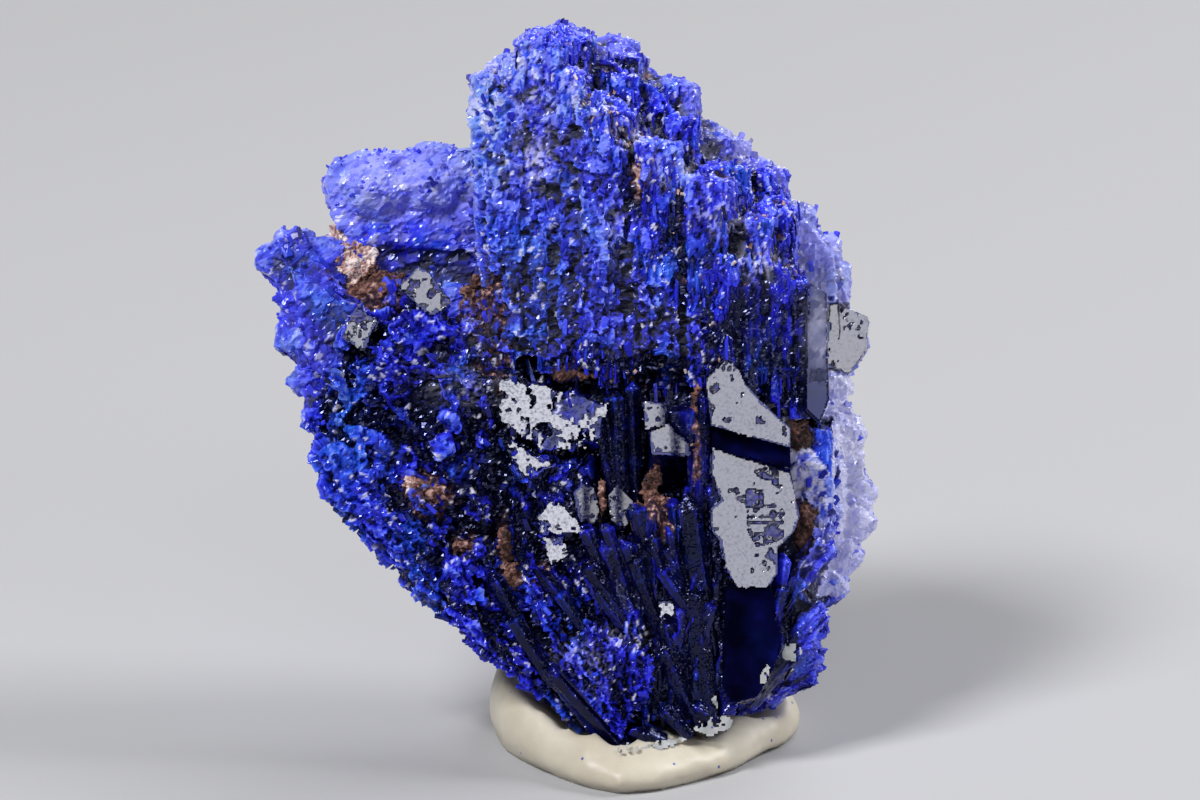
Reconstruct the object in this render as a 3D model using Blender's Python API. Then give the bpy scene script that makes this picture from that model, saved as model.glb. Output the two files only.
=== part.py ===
"""Azurite specimen: a fan of intergrown blue crystals, its root pressed into a pad of mineral tack.

Frame: metres, +Z up, -Y the display side. The origin is the middle of the pad's flat underside.
Nodes: azurite_cluster, every crystal that grew into the one piece, and tack_pad, the soft holder.
Most forms are laid out as they are seen from the display side, looking slightly down: across to
the right, up, and deep behind the front crystals, all in millimetres.
"""

import math
import random

import bmesh
import bpy
from mathutils import Matrix, Vector

MM = 0.001

# ---------------------------------------------------------------- driving dimensions, in mm
LOOK_DOWN = 15.0            # degrees the sight line is tipped, which the crystals lean back by
FRONT_Y = -4.65             # Y of the front crystals where up is nought
SIGHT_Z = 1.03              # Z of the same
CROWN_LEFT, CROWN_RIGHT = -6.8, 7.2
COLUMN_PITCH = 2.1          # spacing of the columns that make up the crown
STRIPE_PITCH = 1.05         # finer columns that stripe its front
PAD_HEIGHT = 3.8            # tack pad, at its tall left shoulder
SEAT_GAP = 0.3              # clearance between cluster and pad
SEED = 29

rng = random.Random(SEED)


def sight(across, up, deep):
    """A point given as it is seen from the display side."""
    tip = math.radians(LOOK_DOWN)
    y = deep * math.cos(tip) + up * math.sin(tip) + FRONT_Y
    z = up * math.cos(tip) - deep * math.sin(tip) + SIGHT_Z
    return Vector((across, y, z))


def clear_scene():
    """Remove whatever the startup file holds."""
    for obj in list(bpy.data.objects):
        bpy.data.objects.remove(obj, do_unlink=True)


def new_collection(name, hidden=False):
    collection = bpy.data.collections.new(name)
    bpy.context.scene.collection.children.link(collection)
    collection.hide_render = hidden
    return collection


def paint(name, colour, roughness):
    """One Principled material."""
    material = bpy.data.materials.new(name)
    material.use_nodes = True
    shader = material.node_tree.nodes["Principled BSDF"]
    shader.inputs["Base Color"].default_value = (*colour, 1.0)
    shader.inputs["Roughness"].default_value = roughness
    return material


def hull_of(points):
    """A closed convex body around some points."""
    bm = bmesh.new()
    for point in points:
        bm.verts.new(point)
    hull = bmesh.ops.convex_hull(bm, input=bm.verts)
    spare = {v for v in hull["geom_interior"] if isinstance(v, bmesh.types.BMVert)}
    spare |= {v for v in hull["geom_unused"] if isinstance(v, bmesh.types.BMVert)}
    bmesh.ops.delete(bm, geom=list(spare), context="VERTS")
    return bm


class Growth:
    """The bodies a piece is grown from, in millimetres, before they are joined."""

    def __init__(self):
        self.bodies = []

    def block(self, front, deep, back, back_deep):
        """A block between a front and a rear outline, each a list of (across, up)."""
        points = [sight(a, u, deep) for a, u in front]
        points += [sight(a, u, back_deep) for a, u in back]
        self.bodies.append(hull_of(points))

    def tablet(self, outline, deep, thick, slope=(0.0, 0.0), taper=0.86):
        """A flat crystal: a smooth front face of the given outline, tilted by its two slopes."""
        middle_a = sum(a for a, u in outline) / len(outline)
        middle_u = sum(u for a, u in outline) / len(outline)
        bm = bmesh.new()
        rings = []
        for share, back in ((1.0, 0.0), (taper, thick)):
            ring = []
            for a, u in outline:
                off_a, off_u = a - middle_a, u - middle_u
                d = deep + slope[0] * off_a + slope[1] * off_u + back
                ring.append(bm.verts.new(sight(middle_a + share * off_a, middle_u + share * off_u, d)))
            rings.append(ring)
        bm.faces.new(rings[0])
        bm.faces.new(reversed(rings[1]))
        count = len(outline)
        for k in range(count):
            n = (k + 1) % count
            bm.faces.new((rings[0][k], rings[1][k], rings[1][n], rings[0][n]))
        bmesh.ops.recalc_face_normals(bm, faces=bm.faces)
        self.bodies.append(bm)

    def crystal(self, foot, tip, width, thick, turn=0.0, blunt=0.35, end=0.45):
        """A bladed crystal from foot to tip, six-sided, with a lopsided chisel end.

        blunt is the share of the width left to the two sharp sides, end the length of the
        chisel as a share of the width.
        """
        start, stop = sight(*foot), sight(*tip)
        along = (stop - start).normalized()
        front = sight(0, 0, -1) - sight(0, 0, 0)
        front = (front - along * front.dot(along)).normalized()
        front.rotate(Matrix.Rotation(math.radians(turn), 3, along))
        across = front.cross(along)
        half, deep = width / 2, thick / 2
        cut = half * (1 - blunt)
        section = [(cut, deep), (half, 0), (cut, -deep), (-cut, -deep), (-half, 0), (-cut, deep)]
        points = [start + across * (0.8 * x) + front * (0.8 * y) for x, y in section]
        shoulder = stop - along * (end * width)
        points += [shoulder + across * x + front * y for x, y in section]
        points += [stop + across * (0.25 * half), stop + across * (0.25 * half) - front * (0.5 * deep)]
        points += [stop - along * (0.12 * width) - across * (0.35 * half) - front * (0.2 * deep)]
        self.bodies.append(hull_of(points))

    def mass(self, centre, size, jitter=0.1, turn=0.0, levels=2):
        """A rounded mass of small crystals: a stretched sphere with uneven facets."""
        bm = bmesh.new()
        bmesh.ops.create_icosphere(bm, subdivisions=levels, radius=0.5)
        spin = Matrix.Rotation(math.radians(turn), 3, "Y")
        for vert in bm.verts:
            x, y, z = vert.co * (1 + rng.uniform(-jitter, jitter))
            a, d, u = spin @ Vector((x * size[0], y * size[2], z * size[1]))
            vert.co = sight(centre[0] + a, centre[1] + u, centre[2] + d)
        self.bodies.append(bm)

    def cluster(self, count, region, length, width, aim, deep):
        """Seeded crystals standing on a patch of the surface, all leaning roughly one way.

        region is the patch's left side as a function of up, its range of up, and its right side.
        """
        for _ in range(count):
            u = rng.uniform(*region[1])
            a = rng.uniform(region[0](u), region[2])
            d = deep(a, u) + rng.uniform(-0.25, 0.25)
            reach = rng.uniform(*length)
            lean = Vector(aim) + Vector([rng.uniform(-0.35, 0.35) for _ in range(3)])
            lean = lean.normalized() * reach
            wide = rng.uniform(*width)
            foot = (a - lean.x * 0.5, u - lean.y * 0.5, d - lean.z * 0.5)
            tip = (a + lean.x * 0.5, u + lean.y * 0.5, d + lean.z * 0.5)
            self.crystal(foot, tip, wide, wide * rng.uniform(0.7, 1.1), rng.uniform(-60, 60))

    def below(self, height):
        """The bodies that reach lower than a height."""
        return [bm for bm in self.bodies if min(v.co.z for v in bm.verts) < height]


def gather(bodies, name, collection, grown=0.0):
    """One mesh object from several bodies; grown puffs each out by a clearance."""
    mesh = bpy.data.meshes.new(name)
    whole = bmesh.new()
    corners = [Vector((x, y, z)) * grown for x in (-1, 1) for y in (-1, 1) for z in (-1, 1)]
    for bm in bodies:
        if grown:
            bm = hull_of([v.co + corner for v in bm.verts for corner in corners])
        bmesh.ops.recalc_face_normals(bm, faces=bm.faces)
        bm.to_mesh(mesh)
        whole.from_mesh(mesh)
        mesh.clear_geometry()
        if grown:
            bm.free()
    bmesh.ops.triangulate(whole, faces=whole.faces)
    bmesh.ops.scale(whole, vec=(MM, MM, MM), verts=whole.verts)
    whole.to_mesh(mesh)
    whole.free()
    obj = bpy.data.objects.new(name, mesh)
    collection.objects.link(obj)
    return obj


# ---------------------------------------------------------------- the crown
def crown_ridge(a):
    """Up of the crest along the crown's front: a hump at the left, then a fall to the right."""
    crest = 25.7 - 0.78 * (a + 2.1) + 2.0 * math.exp(-(((a + 3.8) / 1.3) ** 2))
    return crest - 0.25 * max(-a - 3.6, 0.0) ** 2


def crown_top(a, d):
    """Up of the crown behind its crest: it climbs to a hump, then rounds off to the back."""
    climb = 0.78 * min(d, 5.5) * min(max((a + 4.2) / 2.2, 0.0), 1.0)
    climb += 0.6 * math.exp(-(((a - 0.2) / 1.9) ** 2)) * min(max(d - 2.0, 0.0), 1.0)
    return crown_ridge(a) + climb - 0.28 * max(d - 5.0, 0.0) ** 2


def crown_foot(a):
    """Up of the ragged lower ends of its columns."""
    return 15.6 - 0.13 * (a + 5.0) + 0.45 * math.sin(2.1 * a) - 1.1 * max(a - 5.2, 0.0)


def crown_column(growth, a, d, top, foot, wide, thick=1.0):
    growth.crystal(
        (a + rng.uniform(-0.2, 0.2), foot, d),
        (a, top, d + rng.uniform(-0.2, 0.2)),
        wide,
        wide * thick * rng.uniform(0.95, 1.15),
        turn=rng.uniform(-25, 25),
        blunt=rng.uniform(0.3, 0.5),
        end=rng.uniform(0.15, 0.35),
    )


def grow_crown(growth):
    """A bulging block of upright columns: its body in three, low columns striping it all over."""
    growth.block(
        [(-6.2, 25.9), (-5.2, 27.3), (-3.7, 28.0), (-2.0, 25.4), (-1.6, 16.2), (-5.2, 16.6), (-6.1, 19.6)], 0.9,
        [(-6.2, 24.6), (-4.4, 27.2), (-2.8, 28.3), (-0.4, 26.6), (-0.4, 14.0), (-4.8, 14.0)], 5.6,
    )
    growth.block(
        [(-2.6, 25.4), (-0.2, 24.3), (1.2, 22.9), (4.6, 20.1), (6.7, 18.2), (6.7, 14.8), (-2.4, 16.0)], 0.75,
        [(-2.4, 27.0), (1.0, 25.2), (3.6, 22.2), (6.6, 19.2), (6.6, 12.6), (-2.4, 14.0)], 3.4,
    )
    growth.block(
        [(-3.4, 27.6), (-1.6, 27.9), (0.6, 26.6), (2.4, 24.0), (3.4, 22.2), (3.4, 13.0), (-4.0, 13.0)], 2.6,
        [(-4.0, 26.4), (-1.8, 28.6), (0.4, 27.9), (2.0, 26.1), (3.2, 23.8), (3.4, 12.0), (-4.4, 12.0)], 7.4,
    )
    for row, d in enumerate((1.4, 3.0, 4.7, 6.4)):
        a = CROWN_LEFT + 0.8 + 0.5 * (row % 2) + 0.2 * row
        right = CROWN_RIGHT - 0.7 - 1.4 * max(row - 1, 0)
        while a <= right:
            top = crown_top(a, d) + rng.uniform(-0.25, 0.1)
            foot = crown_foot(a) + 0.6 if row == 0 else 13.0
            bow = 0.025 * (a - 0.5) ** 2 if row == 0 else rng.uniform(-0.4, 0.4)
            crown_column(growth, a, d + bow, top, foot, rng.uniform(2.1, 2.7))
            a += COLUMN_PITCH * rng.uniform(0.85, 1.15)
    a = CROWN_LEFT + 0.7
    while a < CROWN_RIGHT - 0.7:
        d = 0.75 + 0.02 * (a - 0.5) ** 2 + rng.uniform(-0.1, 0.15)
        top = crown_ridge(a) - rng.uniform(0.0, 1.4)
        foot = crown_foot(a) + rng.uniform(-0.8, 0.5)
        crown_column(growth, a, d, top, foot, STRIPE_PITCH * rng.uniform(1.1, 1.6), thick=0.9)
        a += STRIPE_PITCH * rng.uniform(0.8, 1.2)
    # the tall smooth crystal that ends it on the right
    growth.tablet([(6.5, 18.8), (7.3, 18.3), (7.4, 14.0), (7.0, 13.0), (6.4, 13.6)], 0.5, 3.0, (0.25, 0.02))


def grow_back_ridge(growth):
    """The lower mass behind the right half of the crown."""
    tops = [(3.9, 23.9), (5.0, 23.1), (6.0, 22.3), (7.0, 21.1), (7.5, 20.0)]
    for a, up in tops:
        crown_column(growth, a, 5.4 + 0.25 * (a - 4), up, 12.5, 2.1)
        crown_column(growth, a - 0.5, 7.4, up - 1.0, 11.5, 2.3)
    growth.block(
        [(3.6, 23.4), (5.0, 22.5), (6.4, 21.6), (7.8, 19.8), (8.0, 16.8), (7.4, 14.6), (3.8, 14.0)], 4.6,
        [(2.8, 23.6), (5.0, 22.8), (7.6, 20.2), (8.0, 16.4), (6.8, 12.0), (2.4, 12.0)], 8.0,
    )


# ---------------------------------------------------------------- left side
def grow_back_knob(growth):
    """The big rounded block up behind on the left, with an overhanging underside."""
    growth.block(
        [(-13.0, 22.8), (-12.9, 23.6), (-12.0, 24.0), (-7.0, 24.4), (-6.6, 20.2), (-11.8, 20.4), (-12.8, 21.4)],
        5.4,
        [(-12.7, 23.0), (-11.6, 24.2), (-7.0, 24.5), (-4.8, 22.0), (-6.4, 18.4), (-11.4, 20.6)],
        9.3,
    )
    growth.block(
        [(-11.6, 20.6), (-7.0, 20.8), (-6.2, 15.0), (-9.6, 17.6), (-10.6, 18.8)], 5.6,
        [(-11.2, 20.6), (-5.4, 21.0), (-4.4, 12.0), (-9.0, 14.6)], 9.0,
    )
    growth.mass((-11.1, 22.6, 7.0), (4.2, 3.6, 4.8), 0.09, 10)
    growth.mass((-8.8, 22.9, 7.0), (4.4, 3.8, 5.0), 0.09, -8)
    growth.mass((-7.0, 21.6, 7.4), (4.2, 4.6, 4.6), 0.09, 30)


def grow_plugs(growth):
    """Earthy clay grown into the clefts."""
    growth.mass((-12.0, 19.4, 5.8), (2.6, 2.8, 2.4), 0.08, 20, 1)
    growth.mass((-10.3, 18.3, 4.6), (2.8, 1.8, 2.2), 0.08, -20, 1)
    growth.mass((-6.6, 17.5, 3.0), (2.2, 2.6, 2.2), 0.08, 30, 1)
    growth.mass((-8.6, 10.1, 0.6), (1.8, 1.3, 1.3), 0.08, 0, 1)


def grow_far_blades(growth):
    """Blades that fan out to the far left, behind the front plate."""
    tips = [
        (-15.6, 20.3, 4.6, 1.7), (-14.8, 21.0, 5.2, 1.8), (-13.6, 20.6, 5.6, 1.6),
        (-14.8, 18.8, 4.4, 1.6), (-14.6, 17.2, 4.0, 1.8), (-14.1, 15.7, 3.8, 1.9),
        (-13.7, 14.1, 3.4, 2.0), (-13.2, 12.9, 3.2, 1.6),
    ]
    for a, up, d, wide in tips:
        growth.crystal((a * 0.45, up * 0.45, d * 0.8), (a, up, d), wide, wide * 1.15, rng.uniform(-25, 25), end=0.3)
    growth.crystal((-11.4, 15.5, 4.6), (-12.9, 20.4, 5.4), 1.5, 1.7, 15, end=0.25)
    growth.block(
        [(-14.6, 19.6), (-13.0, 18.6), (-9.8, 16.0), (-4.0, 5.5), (-11.6, 10.8), (-13.4, 13.6)], 3.2,
        [(-14.0, 19.6), (-10.6, 18.6), (-4.0, 15.0), (-1.0, 4.6), (-7.6, 7.6), (-12.2, 13.0)], 7.0,
    )


def grow_left_plate(growth):
    """The crumbling slab that radiates from the root to the left edge."""
    tips = [
        (-12.8, 15.5, 1.6, 2.0), (-12.5, 13.9, 1.2, 1.9), (-13.0, 12.6, 1.0, 1.8),
        (-12.8, 11.2, 0.9, 1.9), (-11.9, 10.0, 0.9, 1.8), (-10.6, 8.7, 0.9, 1.8),
        (-9.7, 7.5, 0.9, 1.6), (-8.2, 6.3, 0.8, 1.5), (-6.5, 4.9, 0.7, 1.4),
        (-12.1, 17.2, 2.0, 1.9), (-10.7, 17.6, 1.6, 2.0), (-9.3, 18.4, 0.9, 2.2),
        (-7.8, 17.4, 0.9, 2.2), (-6.4, 16.6, 1.4, 1.8),
    ]
    for a, up, d, wide in tips:
        growth.crystal((-0.6 + a * 0.18, up * 0.2, d + 0.6), (a, up, d + 0.4), wide, 2.3, rng.uniform(-30, 30), end=0.3)
    growth.block(
        [(-11.6, 15.6), (-9.0, 17.4), (-6.2, 16.0), (-5.6, 9.0), (-4.6, 3.6), (-9.0, 7.9), (-11.8, 11.4)], 0.55,
        [(-11.6, 16.0), (-9.0, 17.4), (-5.6, 16.4), (-3.0, 9.0), (-2.0, 2.8), (-8.4, 8.0), (-11.6, 11.6)], 4.0,
    )
    # bright flat tips along the top
    growth.tablet([(-9.9, 18.5), (-9.1, 19.4), (-8.7, 19.2), (-7.7, 17.9), (-8.6, 17.4)], 0.4, 1.3, (0.3, 0.35))
    growth.tablet([(-12.2, 16.5), (-11.6, 17.8), (-10.7, 17.2), (-11.3, 16.0)], 0.7, 1.3, (-0.3, 0.4))
    # raised shelf beside the crown's foot
    growth.block(
        [(-8.8, 15.9), (-6.0, 15.0), (-5.6, 13.6), (-8.2, 14.0)], -0.1,
        [(-9.0, 16.0), (-5.6, 15.6), (-5.4, 12.6), (-8.4, 12.8)], 1.6,
    )

    def face(a, up):
        return 0.55 + 0.05 * abs(a + 8.5)

    def edge(up):
        return max(-12.2, -3.6 - 0.95 * (up - 2.4))

    growth.cluster(22, (edge, (7.0, 16.6), -6.4), (1.1, 2.0), (0.7, 1.2), (-0.7, 0.7, -0.5), face)
    growth.cluster(6, (edge, (3.8, 8.0), -4.9), (1.0, 1.6), (0.6, 1.0), (-0.6, 0.9, -0.4), face)


# ---------------------------------------------------------------- front and root
def grow_front_stack(growth):
    """Smooth-faced crystals stacked below the crown, left of the middle."""
    growth.tablet(
        [(-5.8, 15.0), (-3.0, 14.3), (-1.5, 13.9), (-1.7, 12.4), (-2.5, 12.0), (-4.1, 12.0), (-5.8, 13.2)],
        -0.3, 2.0, (0.04, 0.12),
    )
    growth.tablet([(-5.5, 12.5), (-4.0, 11.6), (-3.1, 11.5), (-5.1, 10.7)], -0.1, 1.8, (0.1, 0.25))
    growth.tablet([(-3.6, 10.2), (-4.3, 9.4), (-4.2, 8.6), (-2.5, 8.7), (-2.7, 9.2)], -0.2, 2.0, (0.15, 0.1))
    growth.tablet([(-4.1, 8.5), (-3.2, 8.5), (-3.0, 7.8), (-3.7, 7.3), (-3.9, 7.7)], -0.1, 1.6, (0.1, 0.1))
    growth.crystal((-1.6, 1.2, 1.4), (-4.6, 12.6, 1.2), 2.2, 2.4, 10)
    growth.crystal((-1.2, 1.0, 1.3), (-3.0, 12.4, 1.1), 2.0, 2.3, -14)
    growth.crystal((-2.2, 1.0, 0.9), (-5.2, 8.2, 0.9), 1.3, 1.8, 20)
    growth.crystal((-2.6, 1.2, 0.9), (-5.6, 6.2, 1.0), 1.2, 1.7, -15)
    # the block low in front, and the dark slab along its left
    growth.block(
        [(-2.3, 5.0), (-3.4, 3.7), (-3.4, 3.1), (-1.0, 0.5), (0.2, 2.8), (0.2, 3.7), (-1.7, 4.6)], -0.8,
        [(-2.4, 5.4), (-3.2, 4.0), (-1.2, 1.0), (0.8, 2.8), (0.6, 4.4)], 2.0,
    )
    growth.block(
        [(-4.2, 3.2), (-3.6, 3.6), (-1.0, 0.4), (-0.3, -0.2), (-1.6, -0.2)], -0.1,
        [(-3.8, 3.4), (-1.6, 3.8), (0.4, 0.8), (-0.3, 0.1), (-1.4, 0.2)], 2.4,
    )


def grow_middle(growth):
    """Little crystals in the hollow of the front, and the blades below them."""
    growth.tablet([(-0.1, 14.0), (0.9, 13.9), (0.8, 13.0), (0.0, 12.8)], -0.5, 1.8, (0.2, 0.15))
    growth.block(
        [(0.1, 12.8), (0.8, 13.6), (2.0, 13.5), (1.7, 12.2), (0.3, 11.8)], -0.3,
        [(0.0, 13.6), (2.0, 14.0), (1.7, 10.6), (0.2, 10.3)], 1.6,
    )
    growth.tablet([(-2.8, 10.3), (-2.5, 10.7), (-2.0, 10.5), (-1.8, 9.6), (-2.0, 9.1), (-2.6, 9.2)], -0.1, 1.6)
    growth.tablet([(-1.5, 10.3), (-1.1, 10.7), (-0.6, 10.2), (-0.4, 9.4), (-0.8, 8.8), (-1.4, 9.1)], -0.2, 1.8)
    blades = [
        (0.1, 1.4, -1.6, 8.8, 1.1), (0.3, 1.2, -0.5, 9.0, 1.2), (0.6, 1.4, 0.4, 10.2, 1.1),
        (0.9, 1.2, 1.4, 9.6, 1.1), (1.3, 1.4, 2.0, 8.2, 0.9), (0.9, 1.2, 1.1, 6.2, 0.9),
        (1.8, 1.2, 2.5, 6.4, 0.9), (0.4, 1.6, -0.6, 6.2, 1.0), (1.7, 0.9, 0.8, 4.2, 0.8),
    ]
    for foot_a, foot_up, a, up, wide in blades:
        d = rng.uniform(0.1, 0.7)
        growth.crystal((foot_a, foot_up, d + 0.4), (a, up, d), wide, 1.9, rng.uniform(-25, 25), end=0.6)
    growth.tablet([(0.4, 5.9), (1.2, 6.0), (1.3, 4.7), (0.7, 4.6)], -0.35, 1.2, (0.2, -0.1))
    growth.block(
        [(0.6, 4.0), (1.2, 4.2), (2.7, 1.4), (2.7, 0.5), (1.6, 1.6)], -0.1,
        [(0.4, 4.2), (2.4, 4.2), (3.2, 1.6), (2.4, 0.8)], 2.0,
    )


def grow_right_column(growth):
    """The mirror-faced crystal at the right of the front, broken across by a dark step."""
    growth.tablet(
        [(2.4, 14.9), (3.2, 15.6), (3.7, 15.3), (4.0, 14.7), (4.7, 13.9), (5.8, 12.9), (5.8, 12.1), (2.6, 13.0)],
        -0.9, 3.0, (0.08, 0.05), taper=0.95,
    )
    growth.tablet(
        [
            (2.7, 12.2), (5.8, 11.3), (6.0, 10.2), (6.2, 9.4), (6.0, 8.8), (5.3, 8.1), (5.3, 7.1),
            (4.9, 6.5), (3.7, 6.5), (3.2, 7.3), (3.0, 8.4), (2.6, 9.0), (2.6, 9.6), (3.1, 10.0), (2.6, 11.2),
        ],
        -0.45, 2.6, (0.05, 0.03), taper=0.95,
    )
    growth.block(
        [(3.3, 6.6), (5.0, 6.6), (5.5, 4.1), (4.5, 2.1), (3.3, 1.8), (3.0, 2.6)], -0.15,
        [(3.2, 13.0), (5.8, 12.6), (6.2, 4.6), (4.8, 1.9), (3.0, 2.0), (2.6, 8.0)], 3.2,
    )
    growth.crystal((3.2, 1.4, 0.6), (2.6, 11.0, 0.5), 1.0, 1.8, 15, end=0.5)
    growth.crystal((2.6, 1.0, 0.7), (2.1, 13.6, 0.7), 1.1, 1.9, -10, end=0.5)


def grow_right_flank(growth):
    """Knobs and a sugary slab on the lower right, going back."""
    growth.crystal((4.6, 4.6, 1.8), (7.4, 8.7, 0.9), 1.4, 1.8, 10, end=0.25)
    growth.crystal((4.6, 3.8, 1.6), (6.5, 7.2, 0.7), 1.2, 1.6, -12, end=0.3)
    growth.crystal((4.2, 2.6, 1.8), (7.3, 6.1, 1.4), 1.5, 1.9, 14, end=0.3)
    growth.crystal((4.0, 2.0, 2.0), (6.9, 4.6, 1.7), 1.5, 1.9, -10, end=0.3)
    growth.block(
        [(5.6, 13.6), (8.4, 13.8), (8.9, 11.3), (9.0, 10.0), (8.6, 8.2), (7.4, 5.8), (6.0, 4.4), (5.4, 6.0)], 3.6,
        [(4.6, 14.6), (8.4, 13.8), (8.9, 10.6), (8.2, 7.2), (6.8, 4.2), (4.0, 2.8)], 7.0,
    )
    growth.block(
        [(5.4, 13.4), (7.4, 12.8), (7.8, 9.4), (6.4, 4.8), (4.4, 2.6)], 1.4,
        [(5.0, 14.0), (8.2, 13.4), (8.6, 9.4), (7.2, 5.0), (4.0, 2.2)], 4.4,
    )
    tips = [(8.7, 13.4, 4.6), (9.1, 11.2, 4.8), (9.2, 9.8, 4.6), (8.7, 8.4, 4.4), (8.2, 7.2, 4.2), (7.5, 5.6, 4.0), (7.3, 4.0, 4.2)]
    for a, up, d in tips:
        growth.crystal((a * 0.5, up * 0.5, d), (a, up, d), 1.7, 2.6, rng.uniform(-20, 20), end=0.3)
    # the pale crystal that sticks out behind the crown's right end, with a dark one under it
    growth.tablet([(7.6, 18.1), (9.2, 17.4), (9.1, 16.0), (8.4, 15.1), (7.4, 15.4)], 5.0, 2.4, (0.2, 0.1))
    growth.crystal((4.6, 11.0, 6.0), (8.3, 15.4, 5.6), 1.9, 2.2, 0, end=0.3)
    growth.crystal((3.6, 1.6, 4.2), (7.2, 3.2, 4.4), 1.6, 2.0, 0, end=0.3)

    def face(a, up):
        return 3.4 - 0.2 * (a - 8.0)

    def edge(up):
        return 7.0

    growth.cluster(6, (edge, (7.4, 13.2), 8.4), (0.9, 1.5), (0.7, 1.1), (0.5, 0.5, -0.6), face)


def grow_heart(growth):
    """The body that everything radiates from, and the unseen rear of the fan."""
    growth.block(
        [(-5.6, 17.0), (6.6, 16.0), (5.6, 5.0), (3.6, 1.8), (-1.4, 1.0), (-4.6, 7.0)], 1.7,
        [(-4.4, 17.0), (6.4, 16.0), (5.4, 5.0), (3.0, 1.6), (-0.8, 1.8), (-3.6, 6.0)], 4.6,
    )
    growth.block(
        [(-8.6, 18.4), (6.4, 18.4), (7.0, 9.0), (4.0, 3.0), (-0.4, 2.8), (-6.2, 8.4)], 4.4,
        [(-6.6, 19.4), (4.6, 20.0), (5.2, 10.4), (2.8, 5.6), (0.2, 5.6), (-5.2, 11.0)], 8.6,
    )
    rear = [
        (-11.0, 19.6, 9.4, 2.4), (-8.9, 21.6, 9.9, 2.4), (-6.6, 22.6, 9.8, 2.5), (-4.2, 24.6, 8.4, 2.5),
        (-1.9, 25.8, 8.6, 2.4), (0.6, 25.0, 8.6, 2.5), (2.9, 22.6, 8.9, 2.4), (5.2, 20.6, 9.2, 2.4),
        (7.3, 18.4, 8.6, 2.2), (8.2, 14.4, 7.8, 2.2), (8.3, 10.6, 7.2, 2.2), (7.0, 7.0, 7.2, 2.2),
        (-12.2, 17.0, 7.6, 2.2), (-12.2, 14.2, 6.6, 2.2), (-10.6, 11.2, 6.2, 2.2), (-8.6, 8.6, 5.8, 2.2),
        (-6.2, 6.0, 5.2, 2.0), (5.4, 4.8, 6.4, 2.0), (-3.0, 17.4, 10.2, 2.8), (0.6, 17.6, 10.4, 2.8),
        (3.8, 15.8, 10.0, 2.6), (-6.6, 16.2, 9.8, 2.6), (-3.4, 11.6, 9.0, 2.4), (1.4, 11.4, 9.2, 2.4),
        (-0.6, 6.6, 7.4, 2.2), (3.4, 6.8, 7.6, 2.2), (-9.6, 14.6, 8.4, 2.2), (6.2, 12.6, 9.4, 2.2),
        (-1.4, 14.4, 10.0, 2.4), (2.4, 13.4, 9.9, 2.2), (-4.6, 13.8, 9.6, 2.2), (-5.2, 19.6, 10.0, 2.4),
        (2.6, 19.4, 9.8, 2.4), (-2.6, 8.6, 8.0, 2.2), (1.2, 8.6, 8.4, 2.2),
        (1.4, 4.2, 6.6, 2.2), (-1.4, 4.4, 6.2, 1.8),
    ]
    for a, up, d, wide in rear:
        foot = (0.6 + a * 0.25, up * 0.3 + 1.0, 1.5 + d * 0.3)
        growth.crystal(foot, (a, up, d), wide, wide * 1.1, rng.uniform(-40, 40), end=0.35)


# ---------------------------------------------------------------- the pad
# radius of the pad's outline, by angle from +X about its widest place
PAD_OUTLINE = [
    (-97, 8.4), (-84, 7.9), (-67, 6.8), (-32, 5.9), (0, 6.3), (45, 6.6), (90, 6.5),
    (135, 6.8), (180, 6.4), (213, 6.6), (231, 6.8), (253, 7.9), (263, 8.4),
]
PAD_MIDDLE_Y = 0.95
# shares of the radius and of the height, from the top down to the edge of the flat underside
PAD_PROFILE = [
    (0.3, 1.0), (0.6, 0.99), (0.78, 0.93), (0.9, 0.78), (0.97, 0.55), (1.0, 0.32), (0.985, 0.12), (0.95, 0.0)
]


def pad_radius(angle):
    """The outline's radius, eased between its given angles."""
    for (a0, r0), (a1, r1) in zip(PAD_OUTLINE, PAD_OUTLINE[1:]):
        if a0 <= angle <= a1:
            share = (angle - a0) / (a1 - a0)
            return r0 + (r1 - r0) * (3 - 2 * share) * share**2
    return PAD_OUTLINE[0][1]


def pad_height(angle):
    """The rim is tall at the left, low in front."""
    turn = math.radians(angle)
    return PAD_HEIGHT * (0.66 - 0.24 * math.cos(turn) + 0.16 * math.sin(turn) + 0.06 * math.cos(2 * turn))


def make_pad(collection):
    """A squashed lump with a flat underside."""
    bm = bmesh.new()
    count = 32
    top = bm.verts.new((0, PAD_MIDDLE_Y, PAD_HEIGHT * 0.62))
    rings = []
    for share, high in PAD_PROFILE:
        ring = []
        for k in range(count):
            angle = -97 + 360 * k / count
            turn = math.radians(angle)
            reach = pad_radius(angle) * share + 0.08 * math.sin(3 * turn + 1.0) * share
            rim = pad_height(angle) * share + PAD_HEIGHT * 0.62 * (1 - share)
            point = (reach * math.cos(turn), PAD_MIDDLE_Y + reach * math.sin(turn), rim * high)
            ring.append(bm.verts.new(point))
        rings.append(ring)
    for k in range(count):
        bm.faces.new((top, rings[0][k], rings[0][(k + 1) % count]))
        for upper, lower in zip(rings, rings[1:]):
            bm.faces.new((upper[k], lower[k], lower[(k + 1) % count], upper[(k + 1) % count]))
    bm.faces.new(list(reversed(rings[-1])))
    return gather([bm], "tack_pad", collection)


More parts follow.
